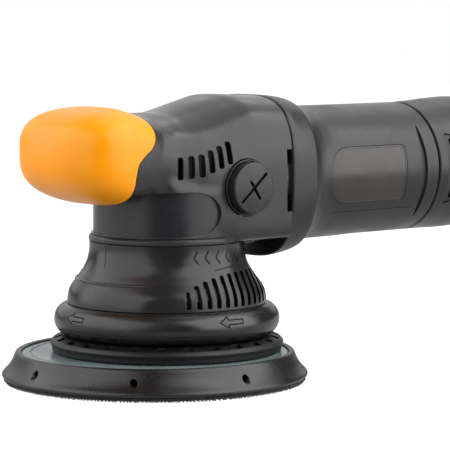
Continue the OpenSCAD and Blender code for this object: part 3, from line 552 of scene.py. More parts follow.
def make_materials():
    """One procedural material for each of the record's slots."""
    m = {}
    plain = dict(grain=0.45, grain_depth=0.025)

    def add(name, *look, **more):
        """Adds one slot's finish."""
        m[name] = finish(name, *look, **more)

    add("orange_rubber", (0.92, 0.31, 0.0), 0.36, mottle=0.035, edge=0.25, wear=1.12, grain=0.7,
        grain_depth=0.02, specular=0.28, sheen=0.02, rough_spread=0.05)
    add("cover_black", (0.0145, 0.014, 0.0162), 0.27, mottle=0.07, edge=0.5, wear=1.9, sheen=0.06,
        **plain)
    add("plug_black", (0.0138, 0.0133, 0.0155), 0.29, edge=0.5, wear=2.0, **plain)
    add("shroud_black", (0.0132, 0.0125, 0.0137), 0.27, mottle=0.08, edge=0.5, wear=1.9, **plain)
    add("housing_black", (0.0145, 0.014, 0.016), 0.32, mottle=0.07, edge=0.5, wear=1.9, cells=0.55,
        **plain)
    add("dark_cast", (0.020, 0.0192, 0.021), 0.32, edge=0.5, wear=1.7, grain=0.8, grain_depth=0.04)
    add("die_cast", (0.66, 0.67, 0.68), 0.42, metal=1.0, mottle=0.08, grain=0.9, grain_depth=0.05,
        edge=0.3, wear=1.2)
    add("ring_rubber", (0.0088, 0.0078, 0.0074), 0.30, mottle=0.12, edge=0.3, wear=1.8, grain=0.6,
        grain_depth=0.02, specular=0.5)
    add("skirt_rubber", (0.0045, 0.0045, 0.0045), 0.46, mottle=0.15, edge=0.4, wear=2.2, grain=0.6,
        grain_depth=0.03)
    add("rim_foam", (0.0072, 0.0062, 0.0058), 0.32, mottle=0.18, edge=0.3, wear=2.0, grain=0.55,
        grain_depth=0.035, cells=0.8, specular=0.5)
    add("disc_teal", (0.155, 0.205, 0.205), 0.30, mottle=0.07, edge=0.25, wear=1.2, grain=0.8,
        grain_depth=0.01, coat=0.15)
    add("label_grey", (0.026, 0.022, 0.020), 0.28, mottle=0.05, edge=0.6, wear=1.8, grain=0.9,
        grain_depth=0.006, edge_mm=0.2, coat=0.1)
    add("grille_black", (0.02, 0.02, 0.021), 0.55, edge=0.4, wear=2.0, **plain)
    add("control_black", (0.03, 0.03, 0.032), 0.42, edge=0.4, wear=2.0, **plain)
    add("gland_rubber", (0.024, 0.024, 0.024), 0.6, edge=0.3, wear=1.8, **plain)
    add("inner_plastic", (0.035, 0.035, 0.035), 0.6, edge=0.3, wear=1.5, **plain)
    add("fan_white", (0.72, 0.72, 0.69), 0.5, edge=0.2, wear=1.1, **plain)
    add("carbon", (0.03, 0.03, 0.03), 0.5, edge=0.2, wear=1.6, grain=0.3, grain_depth=0.03)
    add("board_green", (0.03, 0.20, 0.09), 0.4, edge=0.2, wear=1.3, grain=1.4, grain_depth=0.02)
    add("felt", (0.42, 0.36, 0.27), 0.95, grain=0.25, grain_depth=0.15, mottle=0.15, sheen=0.3,
        specular=0.2)
    add("screw_steel", (0.22, 0.22, 0.23), 0.38, metal=0.9, grain=0.3, grain_depth=0.01, edge=0.6,
        wear=2.0)
    add("bearing_steel", (0.68, 0.69, 0.71), 0.2, metal=1.0, grain=0.2, grain_depth=0.004,
        mottle=0.03)
    add("shaft_steel", (0.60, 0.61, 0.63), 0.27, metal=1.0, grain=0.3, grain_depth=0.008,
        stretch=(0.3, 0.3, 4))
    add("gear_steel", (0.38, 0.39, 0.42), 0.36, metal=1.0, grain=0.4, grain_depth=0.012, edge=0.6,
        wear=1.6)
    add("cast_weight", (0.30, 0.30, 0.31), 0.5, metal=0.8, grain=0.8, grain_depth=0.06)
    add("lamination", (0.33, 0.34, 0.36), 0.45, metal=0.9, grain=0.5, grain_depth=0.05,
        stretch=(6, 0.1, 0.1))
    add("copper_wire", (0.62, 0.24, 0.10), 0.32, metal=0.8, grain=0.5, grain_depth=0.08,
        stretch=(0.2, 3, 3))
    add("brass", (0.72, 0.55, 0.25), 0.3, metal=1.0, grain=0.4, grain_depth=0.01)
    add("spring_steel", (0.55, 0.56, 0.58), 0.3, metal=1.0, grain=0.25, grain_depth=0.005)
    m["hook_black"] = hook_finish("hook_black", (0.016, 0.016, 0.017))
    # Near-black finish for the walls and floors of cut holes, slots, grooves and the seam gap:
    # painted shade in the hollows
    add("pit", (0.006, 0.006, 0.006), 0.8, edge=0.0, wear=1.0, specular=0.2, **plain)
    return m


M = make_materials()


# ---- head -----------------------------------------------------------------

KNOB_EDGE = [
    (-66, 85.5), (-57, 86.8), (-50, 88.4), (-46, 91.5), (-45, 97), (-45, 103),
    (-43.4, 109), (-39, 113.4), (-35, 116.4), (-32.4, 120.2), (-31.6, 124.6),
    (-32.6, 129), (-35.6, 132.3), (-40, 134.8), (-47, 139),
]


def knob_prism(shift, slot="cover_black"):
    """Solid over the front of the head, bounded by the knob's waving rear edge."""
    edge = curve_through(KNOB_EDGE, 8) + np.array([shift, 0])
    outline = [(-100, 70)] + edge.tolist() + [(-47, 150), (-100, 150)]
    return prism("knob_prism", outline, "y", -60, 60, M[slot])


def build_head():
    """Soft cover of the gear head and the rubber grip on its nose, split from one solid."""
    head = head_solid(1.0)
    head.data.materials.append(M["cover_black"])
    for low, high in (
        ((-120, -80, 40), (80, 80, SKIRT_Z)),
        ((-120, -80, 40), (6, 80, COVER_Z)),
        ((COVER_X, -80, 40), (80, 80, 180)),
    ):
        cut(head, block("trim", low, high, M["cover_black"]))
    knob = copied(head, "knob_grip")
    knob.data.materials.clear()
    knob.data.materials.append(M["orange_rubber"])
    boolean(knob, knob_prism(0, "orange_rubber"), "INTERSECT")
    head.name = "head_shell"
    boolean(head, knob_prism(0.45))

    # Room for the gearcase and for the motor's front
    r = CAVITY_R
    # Faces cut for the cavity and the bores are painted near black: painted shade inside the head
    cavity = [(0.02, 50), (r, 50), (r, 110.3), (30.8, 116.3)]
    cavity += [(25.3, 121.3), (17.3, 125.8), (0.02, 125.8)]
    boolean(head, lathe("cavity", cavity, M["pit"], 128, closed=False))
    bore(head, r, 0, 60, "x", MOTOR_AXIS, 128)
    boolean(head, block("cavity", (0, -r, 50), (60, r, MOTOR_Z), M["pit"]))
    bore(head, 34.8, 43.7, 60, "x", MOTOR_AXIS, 128)

    # Shallow recess round the neck, with round ends
    recess = tube("recess", NECK_R - 0.9, 60, 72.4, 94.6, "cover_black")
    bow = np.linspace(-math.pi / 2, math.pi / 2, 40)
    end = [(-11.8 + 15.6 * math.cos(a), 83.5 + 10.7 * math.sin(a)) for a in bow]
    window = [(-60, 72.8)] + end + [(-60, 94.2)]
    boolean(recess, prism("window", window, "y", -80, 80, M["cover_black"]), "INTERSECT")
    boolean(head, recess)

    for side in (-1, 1):
        # The slots, the notch and the plug holes are cut with the near-black finish: painted shade on
        # their walls and floors
        pits = []
        for i, x in enumerate(SLOT_X):
            z = 100.2 + (0.5 * i if i < 3 else 1.9 * (i - 2) + 1)
            floor = math.sqrt(r**2 - x**2) + 0.9
            outline = pill(x - 1.6, z, x + 1.6, z + 10.9, 1.3)
            pits.append(prism("slot", outline, "y", side * floor, side * 45, M["pit"]))
        low, high = span(side, 34, 45)
        pits.append(block("notch", (45.9, low, 82), (52, high, 112.7), M["pit"]))
        cut(head, *pits)
        bore(head, 14.1, 25, 50, "-y" if side < 0 else "y", PLUG_AT, 96)
    done(knob, "housing", "orange_rubber", "front_knob", sharp=50)
    done(head, "housing", "cover_black", "head_cover", sharp=32)


def build_plugs():
    """Threaded plugs in the side handle holes, with a raised cap and a cross slot."""
    line = [(0.02, 33.5), (13.7, 33.5), (13.7, 38.5), (12.95, 38.5)]
    line += [(12.95, 37.3), (12.5, 37.3), (12.5, 42.9), (0.02, 43.0)]
    line = rounded(line, [0, 0.4, 0.7, 0.3, 0.1, 0.1, 0.9, 0], 5)
    for side, name, node in (
        (-1, "plug_near", "side_plug_left"),
        (1, "plug_far", "side_plug_right"),
    ):
        axis = "-y" if side < 0 else "y"
        obj = lathe(name, line, M["plug_black"], 128, axis, PLUG_AT, closed=False)
        for angle, half, shift in ((41, 10.6, 0), (-56, 5.6, 1.4)):
            a = math.radians(angle)
            u, v = np.array([math.cos(a), math.sin(a)]), np.array([-math.sin(a), math.cos(a)])
            mid = np.array([PLUG_AT[0], PLUG_AT[2]]) + u * shift
            outline = rounded([mid + u * half * s + v * 0.75 * t for s, t in CORNERS], 0.7, 4)
            # The slot's walls and floor are painted near black: painted shade in the cross slot
            boolean(obj, prism("slot", outline, "y", side * 41.2, side * 45, M["pit"]))
        done(obj, "housing", "plug_black", node, sharp=30)


# ---- throat ---------------------------------------------------------------

SHROUD = [
    (46.4, 22.1), (46.6, 38), (49, 38.2), (48.8, 41), (48.2, 44.2), (47, 46.6), (45.6, 48.6),
    (44.1, 50.6), (42.7, 52.6), (41.3, 54.6), (40.2, 56.7), (39.3, 58.8), (38.7, 61),
    (38.2, 63.5), (38, 66), (38, 68.4),
]


def build_flange():
    """Cast ring between the head and the shroud, cut back where the cover's cheeks pass it."""
    line = [(17, 54), (24, 54), (24, 68.5), (37.4, 68.5)]
    line += [(38.3, 69.1), (38.3, 70.9), (37.6, 71.7), (17, 71.7)]
    line = rounded(line, [0, 0.5, 0.5, 0.3, 0.6, 0.6, 0.3, 0], 4)
    obj = lathe("flange_ring", line, M["dark_cast"], 192)
    for side in (-1, 1):
        low, high = span(side, 32.7, 45)
        boolean(obj, block("cheek", (5.9, low, 60), (50, high, 80), M["dark_cast"]))
    done(obj, "housing", "dark_cast", "bearing_flange", sharp=30)


def build_shroud():
    """Flared shroud with air outlets, turning chevrons and a ledge round its front."""
    flare = curve_through(SHROUD[2:], 3).tolist()
    inner = [(r - 2.6, z) for r, z in reversed(flare[3:])]
    inner += [(44.6, 38.4), (44.6, 22.1)]
    line = [(46.4, 22.1), (46.6, 37.6), (48.2, 38.1)] + flare + inner
    obj = lathe("shroud_shell", line, M["shroud_black"], 256)
    for side in (-1, 1):
        # The outlets' cut walls are painted near black: painted shade in the openings
        pits = []
        for i in range(12):
            x = 5 * i - 21.6
            top = 56 - 8.4 * 0.68**i
            lean = 0.9 + 0.22 * i
            bend, w = 0.15 * lean, 1.25
            outline = [(x - w, 39.4), (x + w, 39.4), (x + w + bend, 46), (x + w + lean, top)]
            outline += [(x - w + lean, top), (x - w + bend, 46)]
            outline = rounded(outline, [0.9, 0.9, 3, 1.1, 1.1, 3], 4)
            pits.append(prism("outlet", outline, "y", side * 20, side * 62, M["pit"]))
        cut(obj, *pits)
    # The chevrons, the arc and the seam line are cut with the near-black finish: painted shade in the
    # grooves
    marks = []
    for side in (-1, 1):
        for phi in (252, 261, 270.3, 280.2, 291.3):
            tip = (phi - 1.0, 62.6)
            path = between((phi + 2.0, 66), tip, 4) + between(tip, (phi + 2.4, 59.8), 4)[1:]
            if side > 0:
                path = [(-p, z) for p, z in path]
            marks.append(ribbon("m", *on_turned(SHROUD, path), 0.55, 0.45, M["pit"]))
        arc = [(266 + 3 * k, 56.6 + 1.6 * math.sin(min(1, k / 9) * math.pi / 2)) for k in range(13)]
        if side > 0:
            arc = [(-p, z) for p, z in arc]
        marks.append(ribbon("m", *on_turned(SHROUD, arc), 0.3, 0.3, M["pit"]))
    seam = [(181 + 0.35 * max(0, 62 - z), z) for z in np.linspace(68.0, 57.5, 12)]
    marks.append(ribbon("m", *on_turned(SHROUD, seam), 0.3, 0.3, M["pit"]))
    cut(obj, *marks)
    done(obj, "housing", "shroud_black", "shroud", sharp=35)
    # Ledge round the front of the shroud, above the bumper ring
    path = [(phi, 50.4) for phi in np.linspace(122, 238, 60)]
    pts, nrm = on_turned(SHROUD, path)
    fade = np.clip(np.minimum(np.arange(60), 59 - np.arange(60)) / 6, 0.05, 1)
    lip = ((-1.5, -2.6), (0.55, -1.8), (0.95, -0.6), (0.75, 0.15), (-1.5, 0.6))
    rings = []
    for p, n, f in zip(pts, nrm, fade):
        p, n = np.array(p), np.array(n)
        out = np.array([n[0], n[1], 0]) / math.hypot(n[0], n[1])
        rings.append([p + out * r * f + np.array([0, 0, z * f]) for r, z in lip])
    ledge = skin("shroud_ledge", np.array(rings), M["shroud_black"])
    done(ledge, "housing", "shroud_black", sharp=45)


def build_bumper():
    """Solid rubber ring with outlined arrows round it."""
    half = 7.85
    line = []
    for a in np.linspace(-math.pi / 2, math.pi / 2, 40):
        bulge = math.copysign(abs(math.cos(a)) ** 0.92, math.cos(a))
        line.append((55.45 - half + half * bulge, 30.2 + half * math.sin(a)))
    obj = lathe("bumper", line + [(46.8, 37.0), (46.8, 24.0)], M["ring_rubber"], 256)
    arrow = [(0, 33.4), (5, 36.0), (5, 34.4), (14, 34.4)]
    arrow += [(14, 32.3), (5, 32.3), (5, 30.7), (0, 33.4)]
    # The arrow outlines are cut with the near-black finish: painted shade in the grooves
    for start, way in ((258.8, 1), (170.5, 1), (281.2 - 180, -1), (9.5, -1)):
        outline = [(start + way * d, z) for d, z in arrow]
        for a, b in zip(outline[:-1], outline[1:]):
            path = between(a, b, max(3, int(abs(a[0] - b[0])) + 2))
            boolean(obj, ribbon("arrow", *on_turned(line, path), 0.5, 0.4, M["pit"]))
    done(obj, "housing", "ring_rubber", "bumper_ring", sharp=40)


def build_skirt():
    """Flexible ring under the bumper, with a row of slots through its sloping top."""
    line = [(44.3, 22), (50.6, 22), (52.2, 21.8), (56.2, 20.4), (57.6, 18.7), (57, 17.2)]
    line += [(56.6, 16.9), (56.4, 14.6), (54.4, 14.6), (54.4, 16.8), (44.3, 18.4)]
    line = rounded(line, [0, 0.4, 1.0, 1.2, 0.8, 0.3, 0.3, 0.6, 0.6, 0.4, 0], 4)
    obj = lathe("skirt_ring", line, M["skirt_rubber"], 260)
    # The slot walls are painted near black: painted shade in the slots
    pits = []
    count = 26
    for i in range(count):
        a = TAU * (i + 0.5) / count
        u, v = np.array([math.cos(a), math.sin(a)]), np.array([-math.sin(a), math.cos(a)])
        outline = [u * r + v * t for r, t in ((51.4, -2.3), (55.5, -2.5), (55.5, 2.5), (51.4, 2.3))]
        pits.append(prism("slot", rounded(outline, 0.8, 3), "z", 13, 30, M["pit"]))
    cut(obj, *pits)
    done(obj, "housing", "skirt_rubber", "skirt", sharp=35)


# ---- backing plate --------------------------------------------------------

RIM = [
    (73.9, 2.2), (74.9, 2.9), (75.0, 4.0), (74.3, 5.0), (72.8, 6.5), (71.3, 8.4), (70.1, 10.4),
    (69.2, 12.4), (68.6, 13.9), (67.9, 14.8), (66.7, 15.0), (65.6, 14.5),
]


def build_plate():
    """Backing plate: hard disc, soft rim with its air holes, and the hook layer."""
    centre = (ORBIT, 0, 0)
    line = [(12.1, 10), (65.3, 10), (65.3, 13.9), (63.8, 14.0), (12.1, 14.0)]
    line = rounded(line, [0, 0, 0.3, 0.2, 0.3], 3)
    disc = lathe("pad_disc", line, M["disc_teal"], 256, centre=centre)
    for r in (60.5, 41.0):
        boolean(disc, tube("ring", r, r + 0.8, 13.9 - 0.35, 16, "disc_teal", centre=centre))
    done(disc, "plate", "disc_teal", "backing_disc", sharp=30)

    line = curve_through(RIM, 4).tolist()
    line += [(65.4, 10.0), (20.2, 10.0), (20.2, 8.0), (8.0, 8.0), (8.0, 2.2)]
    rim = lathe("pad_rim", line, M["rim_foam"], 288, centre=centre)
    th = np.linspace(0, TAU, 24, endpoint=False)
    for i in range(8):
        a = TAU * i / 8 - math.radians(1.5)
        u = np.array([math.cos(a), math.sin(a), 0])
        v = np.array([-math.sin(a), math.cos(a), 0])
        # Each hole is cut twice: a flared mouth in the foam's own colour, then a deeper bore painted
        # near black as painted shade inside the hole
        for slot, steps in (
            ("rim_foam", ((64.0, 1.7), (70.2, 1.7), (71.4, 2.3), (76.0, 3.4))),
            ("pit", ((63.0, 1.62), (70.6, 1.62))),
        ):
            rings = []
            for r, size in steps:
                mid = np.array([ORBIT, 0, 9.0]) + u * r
                up = np.array([0, 0, size])
                rings.append([mid + v * size * math.cos(t) + up * math.sin(t) for t in th])
            boolean(rim, skin("hole", np.array(rings), M[slot]))
    done(rim, "plate", "rim_foam", "plate_cushion", sharp=40)
    build_hooks(centre)


def build_hooks(centre):
    """Hook layer: a thin sheet with an uneven edge and rows of short mushroom hooks."""
    rng = np.random.default_rng(7)
    segs = 360
    edge = 74.1 + 0.22 * rng.standard_normal(segs)
    edge = (edge + np.roll(edge, 1)) / 2
    ang = np.linspace(0, TAU, segs, endpoint=False)
    rings = []
    for r, z in ((6.7, 2.2), (None, 2.2), (None, 0.8), (6.7, 0.9)):
        rad = edge if r is None else np.full(segs, r)
        ring = np.stack([rad * np.cos(ang), rad * np.sin(ang), np.full(segs, z)], -1)
        rings.append(ring + np.array(centre))
    points = np.array(rings).reshape(-1, 3)
    sheet = add_mesh("hook_sheet", points, grid_faces(4, segs, True), M["hook_black"])
    done(sheet, "plate", "hook_black", "hook_face", sharp=35)
    verts, faces = [], []
    pitch = 1.75
    radius = 8.4
    sides = 5
    turn_by = np.linspace(0, TAU, sides, endpoint=False)
    while radius < 73.4:
        n = int(TAU * radius / pitch)
        for k in range(n):
            a = TAU * (k + rng.random() * 0.5) / n
            x, y = radius * math.cos(a) + centre[0], radius * math.sin(a)
            lean = (rng.random(2) - 0.5) * 0.3
            base = len(verts)
            for size, z, shift in ((0.26, 1.2, 0), (0.2, 0.5, 0.6), (0.42, 0.28, 1), (0.3, 0.0, 1)):
                for t in turn_by:
                    px = x + size * math.cos(t) + lean[0] * shift
                    verts.append((px, y + size * math.sin(t) + lean[1] * shift, z))
            for row in range(3):
                low = base + row * sides
                for j in range(sides):
                    after = (j + 1) % sides
                    faces.append([low + j, low + after, low + sides + after, low + sides + j])
            faces.append([base + j for j in range(sides)])
            faces.append([base + 3 * sides + j for j in range(sides)])
        radius += pitch
    hooks = add_mesh("hook_stubs", verts, faces, M["hook_black"])
    done(hooks, "plate", "hook_black", sharp=60)


# ---- motor ----------------------------------------------------------------

COLLAR = [
    (49.6, 58.6, 137.7, 37.2, 98, 3.2, 3.2),
    (50.2, 57.9, 138.2, 37.75, 98, 3.2, 3.2),
    (51.4, 57.6, 138.6, 38, 98, 3.2, 3.1),
    (57, 57.9, 138.3, 38, 98, 3, 2.9),
    (61, 58.4, 137.9, 38, 98, 2.85, 2.8),
    (65.2, 59.2, 137.1, 37.9, 98, 2.75, 2.7),
    (66.8, 60.2, 136.3, 37.2, 98, 2.55, 2.55),
    (69, 61.9, 135.0, 35.4, 98, 2.35, 2.4),
    (73, 62.9, 133.6, 34.4, 98, 2.2, 2.25),
    (78, 63.6, 132.5, 34.0, 98, 2.08, 2.1),
    (86, 63.7, 131.9, 33.8, 98, 2, 2),
    (104, 63.8, 131.8, 33.8, 98, 2, 2),
    (120, 64.2, 131.8, 33.8, 98, 2, 2),
    (154.1, 64.2, 131.8, 33.8, 98, 2, 2),
    (154.6, 64.7, 131.3, 33.3, 98, 2, 2),
]
LABEL_X = (79.5, 131.5)
LABEL_Z = (83.2, 111.6)


def label_outline(grow):
    """Outline of a label panel made larger all round by `grow`."""
    x0, x1, z0, z1 = LABEL_X[0] - grow, LABEL_X[1] + grow, LABEL_Z[0] - grow, LABEL_Z[1] + grow
    return pill(x0, z0, x1, z1, [14, 3, 3, 14], 10)


def on_motor(path, r=MOTOR_R):
    """Points and normals on the motor housing at (x, angle), the angle from the -y side up."""
    pts, nrm = [], []
    for x, ang in path:
        a = math.radians(ang)
        n = np.array([0, -math.cos(a), math.sin(a)])
        pts.append(np.array([x, 0, MOTOR_Z]) + n * r)
        nrm.append(n)
    return pts, nrm


def build_motor():
    """Motor housing with hollows for the labels, and the spigot behind it."""
    xs = np.unique(np.concatenate([
        np.linspace(49.6, 51.4, 7), np.linspace(51.4, 64, 12), np.linspace(64, 96, 60),
        np.linspace(96, 154.1, 30), np.linspace(154.1, 154.6, 4)]))
    obj = skin("motor_shell", sections(COLLAR, xs, 288), M["housing_black"])
    inside = lathe("inside", [(31, 40), (31, 170)], M["inner_plastic"], 128, "x", MOTOR_AXIS, False)
    boolean(obj, inside)
    for side in (-1, 1):
        boolean(obj, panel(side, 0.25, MOTOR_R - 0.9, 40, 70, 140, "housing_black", 256))
    marks = []
    for side in (-1, 1):
        def flip(path):
            """The path on this side of the motor."""
            return path if side < 0 else [(x, 180 - a) for x, a in path]

        # Finger groove behind the label, and a fine line under it whose walls are painted near black
        # as painted shade
        path = [(143.9 + 1.7 * (abs(a) / 45) ** 2.2, a) for a in np.linspace(-47, 42, 46)]
        taper = 0.7 + 3.6 * np.cos(np.linspace(-1, 1, 46) * math.pi / 2)[:, None]
        marks.append(ribbon("m", *on_motor(flip(path)), taper, 1.3, M["grille_black"]))
        path = [(84 + k * 1.2, -34.5) for k in range(48)]
        marks.append(ribbon("m", *on_motor(flip(path)), 0.35, 0.25, M["pit"]))
    cut(obj, *marks)
    done(obj, "housing", "housing_black", "motor_housing", sharp=24)
    # Ring behind the seam between motor and handle, painted near black: painted shade in the seam gap
    spigot = tube("seam_spigot", 28.5, 32.6, 151, 160, "pit", 192, "x", MOTOR_AXIS)
    done(spigot, "housing", "housing_black", sharp=30)


def panel(side, grow, inner, outer, low, high, slot, segs):
    """Part of a tube round the motor, as wide as one side's label panel plus `grow`."""
    wall = tube("panel", inner, outer, low, high, slot, segs, "x", MOTOR_AXIS)
    outline = prism("outline", label_outline(grow), "y", *span(side, 15, 60), M[slot])
    boolean(wall, outline, "INTERSECT")
    return wall


def build_labels():
    """Blank panels let into both sides, with a fine raised border."""
    parts = []
    for side in (-1, 1):
        wall = panel(side, 0, MOTOR_R - 0.8, MOTOR_R - 0.1, 70, 140, "label_grey", 320)
        boolean(wall, panel(side, -0.8, MOTOR_R - 0.28, MOTOR_R + 3, 69, 141, "label_grey", 320))
        parts.append(wall)
    obj = joined("label_plates", parts)
    done(obj, "housing", "label_grey", "label_panels", sharp=30)


# ---- handle ---------------------------------------------------------------

HANDLE = [
    (155.6, 64.7, 131.3, 33.3, 98, 2, 2),
    (156.2, 64.2, 131.8, 33.8, 98, 2, 2),
    (167, 64.2, 132.4, 34, 98, 2, 2),
    (180, 64, 133.3, 34.2, 98.4, 2.05, 2.05),
    (192, 64.4, 133.8, 33.6, 98.6, 2.1, 2.1),
    (206, 68.6, 132.4, 30.6, 99.4, 2.2, 2.2),
    (222, 74.2, 129.2, 27, 101, 2.3, 2.3),
    (240, 75.6, 127.2, 25.2, 101.4, 2.35, 2.35),
    (262, 74.4, 128, 25.6, 101.2, 2.35, 2.35),
    (278, 72, 129.4, 26.8, 100.8, 2.3, 2.3),
    (286, 71.6, 129.3, 27, 100.6, 2.3, 2.3),
    (289.6, 72.8, 128.2, 26, 100.6, 2.3, 2.3),
    (292, 76.4, 125, 23, 100.6, 2.3, 2.3),
]
WALL = 2.6
GRILLE = [(161.6, 79), (190, 85), (190, 110.5), (161.6, 116.5)]
TRIGGER_X = (201.0, 262.0)
DIAL = (272.0, 0.0, 120.4)
GLAND_Z = 92.0
PILLARS = [(197, 112), (205, 87), (254, 112), (272, 81)]
LOCK = (228.0, 96.0)
PIVOT = (203.5, 77.0)


def build_handle():
    """Hollow rear handle with its openings, split along the middle."""
    xs = np.unique(np.concatenate([
        np.linspace(155.6, 156.2, 4), np.linspace(156.2, 286, 120), np.linspace(286, 292, 14)]))
    body = skin("handle", sections(HANDLE, xs, 256), M["housing_black"])
    inner_xs = np.linspace(153, 288, 90)
    boolean(body, skin("hollow", sections(HANDLE, inner_xs, 192, -WALL), M["inner_plastic"]))
    # The openings and bores are cut with the near-black finish: painted shade on their walls
    for side in (-1, 1):
        boolean(body, prism("grille", rounded(GRILLE, 2.0, 5), "y", *span(side, 18, 60), M["pit"]))
    for outline, half in (
        (pill(TRIGGER_X[0] - 1, 60, TRIGGER_X[1] + 1, 84, 1.5), 8.6),
        (pill(DIAL[0] - 13, 112, DIAL[0] + 13, 140, 1.5), 4.8),
    ):
        boolean(body, prism("opening", outline, "y", -half, half, M["pit"]))
    bore(body, 9.2, 280, 300, "x", (0, 0, GLAND_Z))
    bore(body, 5.3, 10, 50, "-y", (LOCK[0], 0, LOCK[1]), 48)
    for x, z in PILLARS:
        bore(body, 3.3, 14, 50, "y", (x, 0, z), 32)
    right = copied(body, "handle_shell_far")
    boolean(body, block("half", (140, -0.06, 40), (300, 80, 160), M["housing_black"]))
    boolean(right, block("half", (140, -80, 40), (300, 0.06, 160), M["housing_black"]))
    body.name = "handle_shell_near"
    done(body, "housing", "housing_black", "handle_left", sharp=30)
    done(right, "housing", "housing_black", "handle_right", sharp=30)


def build_grille():
    """Air inlet grilles: a sunk panel with upright bars."""
    slot = "grille_black"
    field = rounded([(161.8, 79.3), (189.8, 85.2), (189.8, 110.3), (161.8, 116.2)], 1.8, 5)
    parts = []
    for side in (-1, 1):
        shell = skin("panel", sections(HANDLE, np.linspace(158, 193, 30), 256, -0.7), M[slot])
        inner = sections(HANDLE, np.linspace(156, 195, 34), 192, -WALL - 0.2)
        boolean(shell, skin("inside", inner, M[slot]))
        sides = span(side, 18, 60)
        boolean(shell, prism("field", field, "y", *sides, M[slot]), "INTERSECT")
        # The gaps between the bars have walls painted near black: painted shade between them
        pits = []
        for i in range(6):
            x = 164.7 + 4.2 * i
            inset = 2.6 + (x - 161.6) * 0.21
            outline = pill(x, 79 + inset, x + 2.5, 116.5 - inset, 1.1)
            pits.append(prism("gap", outline, "y", *sides, M["pit"]))
        cut(shell, *pits)
        parts.append(shell)
    obj = joined("inlet_grille", parts)
    done(obj, "housing", slot, "inlet_grilles", sharp=30)


def trigger_coil():
    """Helical return spring between the switch and the paddle, with closed end turns."""
    turns, length, foot = 5, 18.7, 70.75
    turn = np.linspace(0, turns, 36 * turns + 1)
    a = TAU * turn
    t = np.linspace(0, TAU, 12, endpoint=False)
    z = foot + length * smooth_step(turn, turns)
    mid = np.stack([246 + 3 * np.cos(a), 3 * np.sin(a), z], -1)
    out = np.stack([np.cos(a), np.sin(a), 0 * a], -1)
    rim = np.cos(t)[None, :, None] * out[:, None] + np.sin(t)[None, :, None] * np.array([0, 0, 1.0])
    return skin("trigger_coil", mid[:, None] + 0.5 * rim, M["spring_steel"])


def smooth_step(turn, count):
    """Share of the height reached after each turn; the end turns rise half as fast."""
    rate = np.where((turn < 0.8) | (turn > count - 0.8), 0.5, 1.0)
    total = np.concatenate([[0], np.cumsum((rate[1:] + rate[:-1]) / 2 * np.diff(turn))])
    return total / total[-1]


def build_controls():
    """Trigger paddle and its spring, lock button, speed dial and cord gland."""
    side_line = [
        (200.8, 76.5), (201, 74), (204, 72.2), (222, 66.8), (240, 66), (256, 67.6), (260.4, 69.6),
        (260.8, 72.6), (259.5, 76.4), (250, 77.4), (240, 77.4), (226, 78), (208, 80.4), (203, 80.6)]
    outline = rounded(side_line, [1, 1.5, 3, 12, 14, 4, 2, 2, 1.5, 2, 2, 4, 2, 1], 5)
    paddle = prism("trigger_paddle", outline, "y", -7.9, 7.9, M["control_black"])
    bevelled(paddle, 1.1, 4, 40)
    ribs = []
    for i in range(7):
        x = 224 + 4.2 * i
        z = 66.1 + abs(x - 238) * 0.02
        ribs.append(block("rib", (x, -6.0, z - 1.5), (x + 1.4, 6.0, z + 0.55), M["control_black"]))
    cut(paddle, *ribs)
    # Both bores are painted near black inside: painted shade in the holes
    bore(paddle, 1.62, -20, 20, "y", (PIVOT[0], 0, PIVOT[1]), 32)
    bore(paddle, 4.4, 70, 84, "z", (246, 0, 0), 48)
    done(paddle, "trigger", "control_black", "trigger", sharp=35)

    coil = done(trigger_coil(), "housing", "spring_steel", "trigger_spring", sharp=60)
    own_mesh(coil)

    line = [(0.02, 11), (5.0, 11), (5.0, 19), (6.4, 19), (6.4, 21)]
    line += [(5.0, 21), (5.0, 29.4), (4.2, 29.2), (0.02, 29.0)]
    line = rounded(line, [0, 0, 0.1, 0.2, 0.2, 0.1, 0.7, 0.3, 0], 4)
    centre = (LOCK[0], 0, LOCK[1])
    button = lathe("lock_knob", line, M["control_black"], 64, "-y", centre, closed=False)
    done(button, "lock_button", "control_black", "lock_button", sharp=30)

    ang = np.linspace(0, TAU, 288, endpoint=False)
    knurl = 0.5 * np.clip(0.5 + 0.9 * np.cos(24 * ang), 0, 1)
    rings = []
    edge = [(0.0, 3.3), (0.3, 3.9), (1.0, 4.2), (6.0, 4.2)]
    for drop, y in [(d, -y) for d, y in edge[::-1]] + edge:
        r = 12.0 - drop - (knurl if drop < 2 else 0)
        ring = [DIAL[0] + r * np.cos(ang), np.full(288, y), DIAL[2] + r * np.sin(ang)]
        rings.append(np.stack(ring, -1))
    wheel = skin("dial_wheel", np.array(rings), M["control_black"])
    # The axle hole is painted near black inside: painted shade in the hole
    bore(wheel, 2.05, -10, 10, "y", DIAL, 48)
    done(wheel, "speed_dial", "control_black", "speed_dial", sharp=35)

    line = [(4.1, 282), (9.0, 282), (9.0, 284), (11.4, 284), (11.4, 287.8), (9.0, 287.8)]
    line += [(9.0, 292.2), (10.6, 292.2), (10.6, 296), (8.6, 296), (8.2, 298.8), (4.1, 299)]
    line = rounded(line, [0, 0.3, 0.1, 0.4, 0.4, 0.1, 0.1, 0.6, 0.7, 0.3, 0.5, 0.3], 4)
    gland = lathe("gland", line, M["gland_rubber"], 96, "x", (0, 0, GLAND_Z))
    done(gland, "housing", "gland_rubber", "cord_gland", sharp=30)


# ---- frame parts that stay, camera and light ------------------------------


def dress_frame():
    """Gives every CAD node its slot's material; nodes that are replaced stay hidden."""
    slots = {row["node"]: row["material_slot"] for row in frame["record"]["subparts"]}
    for name, obj in frame["nodes"].items():
        obj.data.materials.clear()
        obj.data.materials.append(M[slots[name]])


